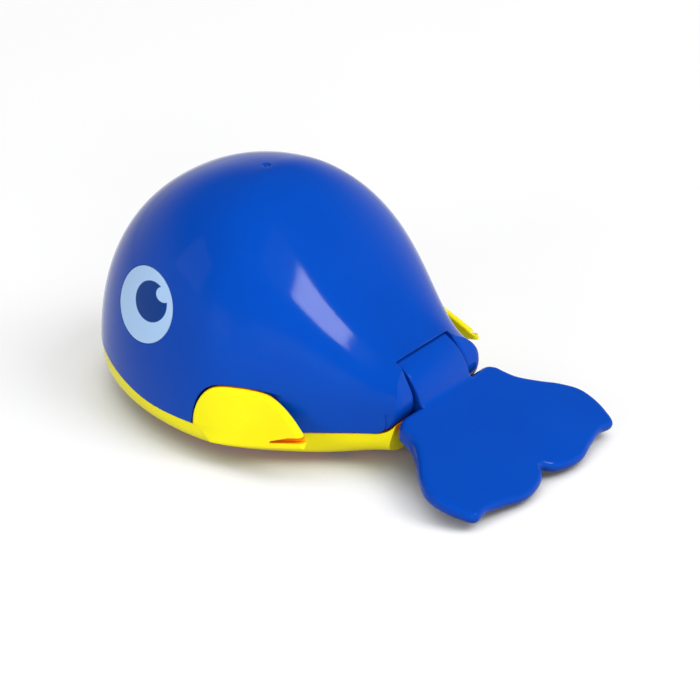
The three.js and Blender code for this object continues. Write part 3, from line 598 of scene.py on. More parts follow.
class Solid:
    """A closed mesh in millimetres, along the toy's stations, that can be joined and cut."""

    def __init__(self, bm: bmesh.types.BMesh) -> None:
        """Takes over a closed bmesh and turns its faces outwards.

        Args:
            bm: The closed shape.
        """
        bmesh.ops.recalc_face_normals(bm, faces=bm.faces)
        if bm.calc_volume(signed=True) < 0:
            bmesh.ops.reverse_faces(bm, faces=bm.faces)
        self.mesh = bpy.data.meshes.new("work")
        bm.to_mesh(self.mesh)
        bm.free()

    def _combine(self, tool: Solid, operation: str) -> Solid:
        """Combines this solid with another.

        Args:
            tool: The other solid, used up.
            operation: DIFFERENCE, UNION or INTERSECT.

        Returns:
            This solid.
        """
        ours = bpy.data.objects.new("work", self.mesh)
        theirs = bpy.data.objects.new("tool", tool.mesh)
        for item in (ours, theirs):
            bpy.context.scene.collection.objects.link(item)
        step = ours.modifiers.new("combine", "BOOLEAN")
        step.object = theirs
        step.operation = operation
        step.solver = "MANIFOLD"
        graph = bpy.context.evaluated_depsgraph_get()
        made = bpy.data.meshes.new_from_object(ours.evaluated_get(graph))
        for item in (ours, theirs):
            bpy.data.objects.remove(item)
        for used in (self.mesh, tool.mesh):
            bpy.data.meshes.remove(used)
        self.mesh = made
        return self

    def cut(self, *tools: Solid) -> Solid:
        """Takes the tools away from this solid.

        Args:
            tools: What is cut, used up.

        Returns:
            This solid.
        """
        for tool in tools:
            self._combine(tool, "DIFFERENCE")
        return self

    def join(self, *others: Solid) -> Solid:
        """Adds the others to this solid.

        Args:
            others: What is joined, used up.

        Returns:
            This solid.
        """
        for other in others:
            self._combine(other, "UNION")
        return self

    def within(self, other: Solid) -> Solid:
        """Keeps what lies inside the other."""
        return self._combine(other, "INTERSECT")

    def turned(self, matrix: Matrix) -> Solid:
        """Moves the solid."""
        self.mesh.transform(matrix)
        return self

    @staticmethod
    def rod(radius: float, start: Point, end: Point, sides: int = 64) -> Solid:
        """A round rod.

        Args:
            radius: Its radius.
            start: Middle of one end.
            end: Middle of the other end.
            sides: Facets round it.

        Returns:
            The rod.
        """
        axis = Vector(end) - Vector(start)
        turn = Vector((0, 0, 1)).rotation_difference(axis).to_matrix().to_4x4()
        place = Matrix.Translation((Vector(start) + Vector(end)) / 2) @ turn
        return Solid(bar(radius, axis.length, sides, place))

    @staticmethod
    def post(radius: float, spot: Pair, low: float, high: float, sides: int = 64) -> Solid:
        """An upright rod at a station and side, between two heights."""
        return Solid.rod(radius, (*spot, low), (*spot, high), sides)

    @staticmethod
    def block(low: Point, high: Point) -> Solid:
        """A box between two corners."""
        return Solid(brick(low, high))

    @staticmethod
    def ball(radius: float, centre: Point, around: int, rows: int) -> Solid:
        """A ball.

        Args:
            radius: Its radius.
            centre: Its middle.
            around: Facets round it.
            rows: Facets from pole to pole.

        Returns:
            The ball.
        """
        bm = bmesh.new()
        place = Matrix.Translation(centre)
        bmesh.ops.create_uvsphere(bm, u_segments=around, v_segments=rows, radius=radius, matrix=place)
        return Solid(bm)

    @staticmethod
    def prism(profile: Profile, half: float, edge: float = 0.0) -> Solid:
        """A side view in X and Z, made thick along Y.

        Args:
            profile: The outline's corners.
            half: How far it reaches to either side.
            edge: Rounding of its two rims.

        Returns:
            The prism.
        """
        bm = slab([(x, -half, z) for x, z in profile], (0, 2 * half, 0))
        if edge:
            soften(bm, level_edges(bm, 1), edge, RIM_STEPS, False)
        return Solid(bm)

    @staticmethod
    def wrapped(sections: Sequence[Sequence[Point]], nose: Point, tail: Point) -> Solid:
        """A sphere whose rings are moved onto a row of cross-sections.

        Args:
            sections: Rings of points, all of one length, from the nose to the tail.
            nose: The point ahead of the first ring.
            tail: The point behind the last ring.

        Returns:
            The closed form.
        """
        around = len(sections[0])
        rows = len(sections) + 1
        bm = bmesh.new()
        bmesh.ops.create_uvsphere(bm, u_segments=around, v_segments=rows, radius=1.0)
        for vert in bm.verts:
            row = round(math.acos(max(-1.0, min(1.0, vert.co.z))) / math.pi * rows)
            if row in (0, rows):
                vert.co = nose if row == 0 else tail
            else:
                spoke = round(math.atan2(vert.co.y, vert.co.x) / math.tau * around) % around
                vert.co = sections[row - 1][spoke]
        return Solid(bm)


def bulge(share: float, power: float) -> float:
    """Height of a unit superellipse at a share of its reach, from 1 in the middle to 0."""
    return max(0.0, 1.0 - max(0.0, share) ** power) ** (1.0 / power)


def held(share: float) -> float:
    """A share held between 0 and 1."""
    return min(1.0, max(0.0, share))


def ease(x: float, start: float, end: float, first: float, last: float, slope: float = 0.0) -> float:
    """A smooth change, level at its start.

    Args:
        x: Where it is read.
        start: Where it starts.
        end: Where it ends.
        first: The value at the start.
        last: The value at the end.
        slope: The slope at the end.

    Returns:
        The value.
    """
    t = held((x - start) / (end - start))
    return first + (last - first) * t * t * (3 - 2 * t) + slope * (end - start) * t * t * (t - 1)


def bend(centre: Pair, radius: float, first: float, last: float, steps: int) -> list[Pair]:
    """Points along an arc of the side view.

    Args:
        centre: The arc's centre.
        radius: Its radius.
        first: The angle where it starts.
        last: The angle where it ends.
        steps: Steps along it.

    Returns:
        Its points.
    """
    turns = [first + (last - first) * i / steps for i in range(steps + 1)]
    return [(centre[0] + radius * math.cos(a), centre[1] + radius * math.sin(a)) for a in turns]


@dataclass(frozen=True)
class Form:
    """The whale's form, in millimetres along stations that count from the nose."""

    seam: float = 10.0
    seam_dip: float = 0.5
    seam_rise: float = 3.0
    seam_run: float = 42.0
    seam_crest: float = 10.0
    seam_lead: float = 3.0
    half_beam: float = 39.5
    beam_station: float = 52.1
    nose_power: float = 1.95
    crown: float = 59.6
    crown_station: float = 44.9
    brow_power: float = 2.06
    stalk_station: float = 96.0
    stalk_half_width: float = 17.3
    stalk_height: float = 24.5
    stalk_taper: float = -0.1
    stalk_lift: float = 0.06
    dome_power: float = 2.19
    stalk_power: float = 3.4
    skirt: float = 4.0
    keel_depth: float = 10.6
    keel_rise_station: float = 74.0
    keel_tail_depth: float = 7.1
    keel_power: float = 1.8
    belly_power: float = 3.0
    wall: float = 2.0
    belly_step: float = 0.4
    belly_end: float = 95.9
    belly_lean: float = 0.3
    seam_gap: float = 0.3
    hinge_station: float = 88.9
    hinge_height: float = 16.5
    pin_radius: float = 1.6
    ear_radius: float = 6.6
    ear_slope: float = 60.0
    ear_lip: float = 28.0
    ear_side: float = 17.75
    ear_round: float = 3.0
    ear_edge: float = 1.2
    ear_draw_rise: float = 0.75
    ear_back_middle: Pair = (110.0, 5.0)
    barrel_radius: float = 8.1
    barrel_half_width: float = 9.9
    barrel_gap: float = 0.4
    slot_lead: float = 0.9
    shaft_station: float = 37.455
    fit_gap: float = 0.3
    clear: float = 5.0
    lid_steps: int = 8
    seam_steps: int = 32
    lead_steps: int = 8
    lip_steps: int = 24
    ear_steps: int = 40
    ear_edge_rows: int = 16
    ear_round_rows: int = 24

    @property
    def cheek(self) -> float:
        """Half-width of the slot between the ears."""
        return self.barrel_half_width + self.barrel_gap

    @property
    def wide(self) -> float:
        """A half-width that clears the whole toy."""
        return self.half_beam + self.clear

    def half_width(self, x: float, inset: float) -> float:
        """Half-width of the hull.

        Args:
            x: The station.
            inset: How far inside the outer skin.

        Returns:
            The half-width.
        """
        if x < self.beam_station:
            reach = self.beam_station - inset
            return (self.half_beam - inset) * bulge((self.beam_station - x) / reach, self.nose_power)
        end = (self.beam_station, self.stalk_station, self.half_beam, self.stalk_half_width)
        return ease(x, *end, self.stalk_taper) - inset

    def dome_top(self, x: float, inset: float) -> float:
        """Top of the dome.

        Args:
            x: The station.
            inset: How far inside the outer skin.

        Returns:
            The height.
        """
        if x < self.crown_station:
            reach = self.crown_station - inset
            rise = self.crown - inset - self.seam
            return self.seam + rise * bulge((self.crown_station - x) / reach, self.brow_power)
        end = (self.crown_station, self.stalk_station, self.crown, self.stalk_height)
        return ease(x, *end, self.stalk_lift) - inset

    def section_power(self, x: float) -> float:
        """Superellipse power of the dome's cross-section at a station."""
        return ease(x, self.crown_station, self.stalk_station, self.dome_power, self.stalk_power)

    def keel(self, x: float, inset: float) -> float:
        """Depth of the belly below the seam.

        Args:
            x: The station.
            inset: How far inside the outer skin.

        Returns:
            The depth.
        """
        share = max(0.0, (self.beam_station - x) / (self.beam_station - inset))
        end = (self.keel_rise_station, self.stalk_station, self.keel_depth, self.keel_tail_depth)
        return (ease(x, *end) - inset) * bulge(share, self.keel_power)

    def stations(self, inset: float, end: float, front: int, rear: int) -> list[float]:
        """Stations that crowd towards the blunt nose, without the nose itself.

        Args:
            inset: Where the nose is.
            end: The last station.
            front: How many lie before the beam.
            rear: How many steps follow.

        Returns:
            The stations.
        """
        reach = self.beam_station - inset
        turns = [(i / front) * (math.pi / 2) for i in range(1, front)]
        ahead = [self.beam_station - reach * math.cos(t) ** (2 / self.nose_power) for t in turns]
        return ahead + [self.beam_station + (end - self.beam_station) * i / rear for i in range(rear + 1)]

    def _arc(
        self, x: float, width: float, height: float, power: float, count: int, sense: int
    ) -> list[Point]:
        """Half a superellipse, from +Y over the top to -Y, or from -Y under the keel to +Y.

        Args:
            x: The station.
            width: Its half-width.
            height: How far it rises or falls from the seam.
            power: Its power.
            count: Steps along it.
            sense: 1 over the top, -1 under the keel.

        Returns:
            Its points.
        """
        points = []
        for j in range(count + 1):
            turn = math.pi * j / count
            side = math.cos(turn)
            y = sense * width * math.copysign(abs(side) ** (2 / power), side)
            lift = abs(math.sin(turn)) ** (2 / power)
            points.append((x, y, self.seam + sense * height * lift))
        return points

    def _lid(self, x: float, width: float, z: float) -> list[Point]:
        """A straight row of points that closes a section."""
        return [(x, width * (2 * k / self.lid_steps - 1), z) for k in range(self.lid_steps + 1)]

    def dome(self, inset: float, grain: Grain) -> Solid:
        """The dome's whole form, with a skirt below the seam.

        Args:
            inset: How far it lies inside the outer skin.
            grain: Rings before the beam, rings behind it and steps over each ring.

        Returns:
            The form.
        """
        front, rear, arc = grain
        foot = self.seam - self.skirt - inset
        end = self.stalk_station + inset
        sections = []
        for x in self.stations(inset, end, front, rear):
            width = self.half_width(x, inset)
            rise = self.dome_top(x, inset) - self.seam
            over = self._arc(x, width, rise, self.section_power(x), arc, 1)
            sections.append(over + self._lid(x, width, foot))
        return Solid.wrapped(sections, (inset, 0, self.seam), (end, 0, self.seam))

    def belly(self, inset: float, grain: Grain) -> Solid:
        """The belly's whole form, with a rim that runs on above the seam.

        Args:
            inset: How far it lies inside the outer skin.
            grain: Rings before the beam, rings behind it and steps under each ring.

        Returns:
            The form.
        """
        front, rear, arc = grain
        inside = inset + self.belly_step
        rim = self.hinge_height + inset
        end = self.belly_end
        if inset > 0:
            end -= self.belly_lean * self.hinge_height + inset
        sections = []
        for x in self.stations(inside, end, front, rear):
            width = self.half_width(x, inside)
            under = self._arc(x, width, self.keel(x, inset), self.belly_power, arc, -1)
            sections.append(under + [(x, -y, z) for _, y, z in self._lid(x, width, rim)])
        return Solid.wrapped(sections, (inside, 0, self.seam), (end, 0, self.seam))

    def dome_y(self, x: float, z: float) -> float:
        """Half-width of the dome's skin at a station and height."""
        share = (z - self.seam) / (self.dome_top(x, 0.0) - self.seam)
        return self.half_width(x, 0.0) * bulge(share, self.section_power(x))

    def cross_rod(self, radius: float, reach: float, sides: int = 64) -> Solid:
        """A rod along the hinge axis that reaches as far to either side."""
        x, z = self.hinge_station, self.hinge_height
        return Solid.rod(radius, (x, -reach, z), (x, reach, z), sides)

    def seam_half(self, gap: float, end: float) -> Solid:
        """What lies below the dome's edge, or above the belly's rim.

        Args:
            gap: How much lower the edge runs, for the belly's rim.
            end: The height that closes it, under or above the toy.

        Returns:
            The tool that trims a shell.
        """
        radius = self.ear_radius + gap
        lowest = self.hinge_height - radius
        level = min(self.seam - self.seam_dip - gap, lowest)
        start = self.hinge_station - self.ear_radius - self.seam_lead
        profile = [(AHEAD, level + self.seam_rise)]
        for i in range(self.seam_steps + 1):
            x = self.seam_run * i / self.seam_steps
            profile.append((x, level + ease(x, self.seam_crest, self.seam_run, self.seam_rise, 0.0)))
        for i in range(self.lead_steps + 1):
            t = i / self.lead_steps
            profile.append((start + (self.hinge_station - start) * t, level + (lowest - level) * t * t))
        lip = math.radians(-self.ear_lip)
        middle = (self.hinge_station, self.hinge_height)
        profile += bend(middle, radius, -math.pi / 2, lip, self.lip_steps)[1:]
        profile += [(ASTERN, profile[-1][1]), (ASTERN, end), (AHEAD, end)]
        return Solid.prism(profile, self.wide)

    def _ear_draw(self, y: float) -> float:
        """How far the ears' rounded edges draw their back forward.

        Args:
            y: The place across the toy.

        Returns:
            The draw.
        """
        outer = min(self.ear_round, max(0.0, abs(y) - self.ear_side + self.ear_round))
        inner = min(self.ear_edge, max(0.0, self.cheek + self.ear_edge - abs(y)))
        draw = self.ear_round - math.sqrt(self.ear_round**2 - outer**2)
        return draw + self.ear_edge - math.sqrt(self.ear_edge**2 - inner**2)

    def ear_back(self) -> Solid:
        """What lies behind the ears: they are round at the end, with a sloping back and rounded edges.

        Returns:
            The tool that trims the ears.
        """
        slope = math.radians(self.ear_slope)
        middle = (self.hinge_station, self.hinge_height)
        profile = bend(middle, self.ear_radius, -math.pi / 2, math.pi / 2 - slope, self.ear_steps)
        x, z = profile[-1]
        profile.append((x - (ABOVE - z) / math.tan(slope), ABOVE))
        edge_turns = [math.pi / 2 * i / self.ear_edge_rows for i in range(self.ear_edge_rows + 1)]
        round_turns = [math.pi / 2 * i / self.ear_round_rows for i in range(self.ear_round_rows + 1)]
        rows = [self.cheek + self.ear_edge * (1 - math.cos(t)) for t in edge_turns]
        rows += [self.ear_side - self.ear_round * math.cos(t) for t in round_turns]
        wide = self.wide
        low = self.hinge_height - self.ear_radius
        rise = self.ear_draw_rise * self.ear_radius
        sections = []
        for y in [-wide, *(-r for r in reversed(rows)), *rows, wide]:
            draw = self._ear_draw(y)
            ring = [(px - draw * held((pz - low) / rise), y, pz) for px, pz in profile]
            foot = (self.hinge_station - self.ear_radius, y, UNDER)
            sections.append([*ring, (ASTERN, y, ABOVE), (ASTERN, y, UNDER), foot])
        x, z = self.ear_back_middle
        return Solid.wrapped(sections, (x, -wide, z), (x, wide, z))


@dataclass
class Maker:
    """Turns finished solids into pieces that ride on the frame."""

    nose: float
    finishes: dict[Slot, bpy.types.Material]
    sharp: float = 38.0
    pieces: list[str] = field(default_factory=list)

    def row(self) -> Matrix:
        """From millimetres and stations to the row frame."""
        return Matrix.Translation((self.nose, 0, 0)) @ Matrix.Scale(MM, 4)

    def piece(self, name: str, solid: Solid, body: Body, slot: Slot, node: str) -> None:
        """Makes a piece that replaces a node of the frame.

        Args:
            name: The piece's name.
            solid: Its shape.
            body: The body that it rides on.
            slot: The record's slot for its finish.
            node: The node that it stands for.
        """
        mesh = solid.turned(self.row()).mesh
        mesh.name = name
        mesh.shade_smooth()
        mesh.set_sharp_from_angle(angle=math.radians(self.sharp))
        mesh.materials.clear()
        mesh.materials.append(self.finishes[slot])
        made = bpy.data.objects.new(name, mesh)
        bpy.context.scene.collection.objects.link(made)
        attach(made, body.value)
        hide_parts(node)
        self.pieces.append(name)
        log.info("%s: %d faces on %s", name, len(mesh.polygons), body.value)


@dataclass
class Fin:
    """One of the two vanes moulded on the belly."""

    form: Form
    side: Side
    front: float = 52.3
    peak_station: float = 61.0
    tip: float = 82.0
    tip_height: float = 10.4
    blunt: float = 1.5
    peak_height: float = 20.6
    foot_height: float = 5.6
    front_power: float = 2.6
    fall_power: float = 1.95
    foot_power: float = 1.6
    chin: float = 4.0
    chin_length: float = 5.0
    proud: float = 0.4
    sweep: float = 1.6
    lean: float = 0.45
    hug: float = 0.2
    tuck: float = 0.3
    blend: float = 1.6
    thickness: float = 2.4
    rim: float = 2.0
    rim_reach: float = 4.0
    rim_round: float = 0.95
    slot_front: float = 73.0
    slot_ramp: float = 4.5
    slot_height: float = 1.15
    slot_lip: float = 1.5
    slot_web: float = 0.5
    slot_gap: float = 0.4
    slot_grain: tuple[int, int] = (48, 4)
    vane_grain: tuple[int, int] = (72, 36)

    def face(self, x: float, z: float) -> float:
        """Half-width of the fin's outer face: it hugs the dome in front and stands out behind.

        Args:
            x: The station.
            z: The height.

        Returns:
            The half-width.
        """
        form = self.form
        spread = form.half_beam + self.proud
        flare = ease(x, self.front, self.tip, spread, spread - self.sweep)
        standing = flare - self.lean * (z - self.foot_height)
        hugging = form.dome_y(x, z) + self.hug - self.tuck * max(0.0, form.seam - z)
        return (standing + hugging + math.hypot(standing - hugging, self.blend)) / 2

    def rims(self, x: float, margin: float) -> Pair:
        """Heights of the fin's lower and upper edge.

        Args:
            x: The station.
            margin: How much wider the fin is all round.

        Returns:
            The lower and the upper height.
        """
        front = self.front - margin
        tip = self.tip + margin
        if x < self.peak_station:
            arch = bulge((self.peak_station - x) / (self.peak_station - front), self.front_power)
            high = self.foot_height + (self.peak_height - self.foot_height) * arch
        else:
            root = self.tip_height + self.blunt
            fall = ((x - self.peak_station) / (tip - self.peak_station)) ** self.fall_power
            high = root + (self.peak_height - root) * (1 - fall)
        along = max(0.0, (x - front) / (tip - front)) ** self.foot_power
        chin = self.chin * max(0.0, 1 - (x - front) / self.chin_length)
        low = self.foot_height + (self.tip_height - self.foot_height) * along + chin - margin
        return low, max(high + margin, low + self.blunt)

    def depth(self, below: float) -> float:
        """Thickness of the fin at a place so far below its upper edge."""
        return self.rim + (self.thickness - self.rim) * held(below / self.rim_reach)

    def slot(self) -> Solid:
        """The slot under the fin's tip: it opens towards the rear and leaves a web behind it.

        Returns:
            The slot.
        """
        bm = sheet(*self.slot_grain)
        inner = extruded(bm)
        end = self.tip + self.slot_gap
        for vert in bm.verts:
            x = self.slot_front + (end - self.slot_front) * (1 + vert.co.x) / 2
            low, high = self.rims(min(x, self.tip), 0.0)
            opened = min(1.0, (x - self.slot_front) / self.slot_ramp)
            height = self.slot_gap + (self.slot_height - self.slot_gap) * opened
            z = low + self.slot_lip + height * (1 + vert.co.y) / 2
            bed = max(0.0, self.depth(high - z) - self.slot_web)
            y = self.face(x, z) + (-bed if vert in inner else self.thickness)
            vert.co = (x, self.side.value * y, z)
        return Solid(bm)

    def vane(self, margin: float, outward: float, rounding: float) -> Solid:
        """The vane, wider by a margin where it cuts its own opening.

        Args:
            margin: How much wider it is all round.
            outward: How much further out its outer face lies.
            rounding: Rounding of its rim.

        Returns:
            The vane.
        """
        front = self.front - margin
        tip = self.tip + margin
        bm = sheet(*self.vane_grain)
        inner = extruded(bm)
        for vert in bm.verts:
            x = front + (tip - front) * (1 + math.sin(vert.co.x * math.pi / 2)) / 2
            low, high = self.rims(x, margin)
            z = low + (high - low) * (1 + math.sin(vert.co.y * math.pi / 2)) / 2
            inset = min(z - low, high - z, tip - x, x - front)
            slope = max(0.0, rounding - inset)
            fall = rounding - math.sqrt(max(0.0, rounding**2 - slope**2))
            thickness = self.thickness if margin else self.depth(high - z)
            y = self.face(x, z) + (fall - thickness - margin if vert in inner else outward - fall)
            vert.co = (x, self.side.value * y, z)
        return Solid(bm)

    def opening(self, gap: float) -> Solid:
        """What the dome is opened by, a gap wider than the fin."""
        return self.vane(gap, 2 * self.thickness, 0.0)

    def solid(self) -> Solid:
        """Builds the fin with its slot."""
        return self.vane(0.0, 0.0, self.rim_round).cut(self.slot())


@dataclass
class Eye:
    """A printed eye, let into the dome."""

    form: Form
    side: Side
    station: float = 32.5
    height: float = 32.3
    half_width: float = 11.1
    half_height: float = 8.9
    thickness: float = 0.5
    joint: float = 0.1
    bed_clear: float = 3.0
    nudge: float = 0.5
    search: float = 6.0
    halvings: int = 40
    bed_grain: int = 40
    plate_grain: int = 64

    def on_dome(self, along: float, up: float) -> Vector:
        """A point of the dome's skin, as far along and up from the eye's middle."""
        x, z = self.station + along, self.height + up
        return Vector((x, self.side.value * self.form.dome_y(x, z), z))

    def frame(self) -> tuple[Vector, Vector, Vector, Vector]:
        """How the eye lies on the skin.

        Returns:
            Its middle, its two directions on the skin and the way that it faces.
        """
        along = self.on_dome(self.nudge, 0.0) - self.on_dome(-self.nudge, 0.0)
        rise = self.on_dome(0.0, self.nudge) - self.on_dome(0.0, -self.nudge)
        facing = (along.cross(rise)).normalized() * -self.side.value
        along = Vector((0, 0, 1)).cross(facing).normalized()
        along = along if along.x > 0 else -along
        up = facing.cross(along)
        return self.on_dome(0.0, 0.0), along, up if up.z > 0 else -up, facing

    def _excess(self, point: Vector) -> float:
        """How far a point lies outside the skin.

        Args:
            point: The point.

        Returns:
            A measure that is negative inside and grows outwards.
        """
        form = self.form
        width = form.half_width(point.x, 0.0)
        power = form.section_power(point.x)
        rise = (point.z - form.seam) / (form.dome_top(point.x, 0.0) - form.seam)
        return abs(point.y / width) ** power + max(0.0, rise) ** power - 1.0

    def _drop(self, start: Vector, facing: Vector) -> Vector:
        """Moves a point along a direction on to the skin.

        Args:
            start: The point.
            facing: The direction, outwards.

        Returns:
            The point on the skin.
        """
        low, high = -self.search, self.search
        for _ in range(self.halvings):
            middle = (low + high) / 2
            if self._excess(start + facing * middle) < 0:
                low = middle
            else:
                high = middle
        return start + facing * low

    def bed(self) -> Solid:
        """The shallow bed that is cut for the eye."""
        return self._plate(self.joint, self.bed_clear, self.thickness + self.form.fit_gap, self.bed_grain)

    def plate(self) -> Solid:
        """The eye itself, with its own map for the print."""
        return self._plate(0.0, 0.0, self.thickness, self.plate_grain)

    def _plate(self, margin: float, proud: float, depth: float, steps: int) -> Solid:
        """An oval plate that follows the skin.

        Args:
            margin: How much wider it is all round.
            proud: How far its face stands above the skin.
            depth: How far its back lies below the skin.
            steps: Squares across it.

        Returns:
            The plate.
        """
        middle, along, up, facing = self.frame()
        bm = sheet(steps, steps)
        chart = bm.loops.layers.uv.new("eye")
        back = extruded(bm)
        flat = {}
        for vert in bm.verts:
            a, b = vert.co.x, vert.co.y
            flat[vert] = (a * math.sqrt(1 - b * b / 2), b * math.sqrt(1 - a * a / 2))
        for vert, (a, b) in flat.items():
            out = along * (a * (self.half_width + margin)) + up * (b * (self.half_height + margin))
            skin = self._drop(middle + out, facing)
            vert.co = skin + facing * (-depth if vert in back else proud)
        for face in bm.faces:
            for loop in face.loops:
                a, b = flat[loop.vert]
                loop[chart].uv = (a / 2 + 0.5, b / 2 + 0.5)
        return Solid(bm)


@dataclass
class UpperShell:
    """The blue dome with its two ears, the slot for the tail and the openings for the fins."""

    form: Form
    pin_half_length: float = 14.8
    lever_room: float = 6.0
    lever_overlap: float = 1.0
    fin_gap: float = 0.4
    dimple_station: float = 44.2
    dimple_radius: float = 1.6
    dimple_depth: float = 0.55
    nub_radius: float = 0.45
    dimple_facets: tuple[int, int] = (48, 32)
    nub_facets: tuple[int, int] = (24, 16)
    skin_grain: Grain = (90, 110, 220)
    wall_grain: Grain = (40, 50, 90)

    def solid(self, fins: Sequence[Fin], eyes: Sequence[Eye]) -> Solid:
        """Builds the shell.

        Args:
            fins: The fins that it opens round.
            eyes: The eyes that it holds.

        Returns:
            The shell.
        """
        form = self.form
        axle, height, cheek = form.hinge_station, form.hinge_height, form.cheek
        ear_front = axle - form.ear_radius - form.wall
        lever_front = ear_front - form.wall
        lever_foot = height - self.lever_overlap
        slot_front = axle + form.slot_lead
        ears = Solid.block((ear_front, -form.wide, UNDER), (ASTERN, form.wide, ABOVE))
        hollow = form.dome(form.wall, self.wall_grain).cut(ears)
        shell = form.dome(0.0, self.skin_grain).cut(
            hollow,
            form.seam_half(0.0, UNDER),
            form.ear_back(),
            form.cross_rod(form.barrel_radius + form.barrel_gap, cheek, 128),
            Solid.block((slot_front, -cheek, UNDER), (ASTERN, cheek, ABOVE)),
            Solid.block((lever_front, -cheek, UNDER), (slot_front, cheek, height)),
            Solid.block(
                (lever_front, -cheek, lever_foot), (axle - form.ear_radius, cheek, height + self.lever_room)
            ),
            form.cross_rod(form.pin_radius + form.fit_gap, self.pin_half_length + form.fit_gap),
            *(fin.opening(self.fin_gap) for fin in fins),
            *(eye.bed() for eye in eyes),
        )
        bottom = form.dome_top(self.dimple_station, 0.0) - self.dimple_depth
        centre = (self.dimple_station, 0, bottom + self.dimple_radius)
        shell.cut(Solid.ball(self.dimple_radius, centre, *self.dimple_facets))
        nub = Solid.ball(self.nub_radius, (self.dimple_station, 0, bottom), *self.nub_facets)
        return shell.join(nub)


@dataclass
class BellyShell:
    """The yellow belly: a flat foot, a well for the knob, screw holes and the two fins."""

    form: Form
    well_radius: float = 14.5
    well_ceiling: float = 8.0
    well_roof: float = 2.0
    shaft_radius: float = 2.0
    screw_rows: tuple[Pair, ...] = ((16.0, 13.0), (78.5, 16.6))
    screw_seat: float = 5.7
    screw_head: float = 2.5
    screw_radius: float = 1.3
    boss: float = 4.2
    skin_grain: Grain = (80, 100, 140)
    wall_grain: Grain = (40, 50, 60)

    def screws(self) -> list[Pair]:
        """Station and side of each shell screw."""
        return [(x, sign * y) for x, y in self.screw_rows for sign in (1, -1)]

    def behind(self) -> Solid:
        """What lies behind the belly's leaning end.

        Returns:
            The tool that trims it.
        """
        form = self.form
        foot = form.belly_end - form.belly_lean * form.hinge_height
        lean = [(foot + form.belly_lean * z, z) for z in (UNDER, ABOVE)]
        return Solid.prism([lean[0], (ASTERN, UNDER), (ASTERN, ABOVE), lean[1]], form.wide)

    def solid(self, fins: Sequence[Fin]) -> Solid:
        """Builds the belly.

        Args:
            fins: The fins moulded on it.

        Returns:
            The belly.
        """
        form = self.form
        shaft = (form.shaft_station, 0)
        tail_room = form.barrel_radius + form.barrel_gap
        tail_low = (form.hinge_station - tail_room, -form.cheek, form.hinge_height - tail_room)
        shell = form.belly(0.0, self.skin_grain).cut(form.belly(form.wall, self.wall_grain))
        roof = self.well_ceiling + self.well_roof
        posts = [Solid.post(self.well_radius + form.wall, shaft, UNDER, roof, 96)]
        posts += [
            Solid.post(self.boss, screw, UNDER, form.seam - form.fit_gap, 40) for screw in self.screws()
        ]
        for post in posts:
            shell.join(post.within(form.belly(0.0, self.wall_grain)))
        shell.cut(
            form.seam_half(form.seam_gap, ABOVE),
            self.behind(),
            Solid.block(tail_low, (ASTERN, form.cheek, ABOVE)),
            Solid.post(self.well_radius, shaft, UNDER, self.well_ceiling, 128),
            Solid.post(self.shaft_radius + 2 * form.fit_gap, shaft, UNDER, ABOVE),
            Solid.block((AHEAD, -form.wide, UNDER), (ASTERN, form.wide, 0)),
        )
        shell.join(*(fin.solid() for fin in fins))
        for screw in self.screws():
            shell.cut(
                Solid.post(self.screw_head + form.fit_gap, screw, UNDER, self.screw_seat, 48),
                Solid.post(self.screw_radius + form.fit_gap, screw, UNDER, ABOVE, 32),
            )
        return shell


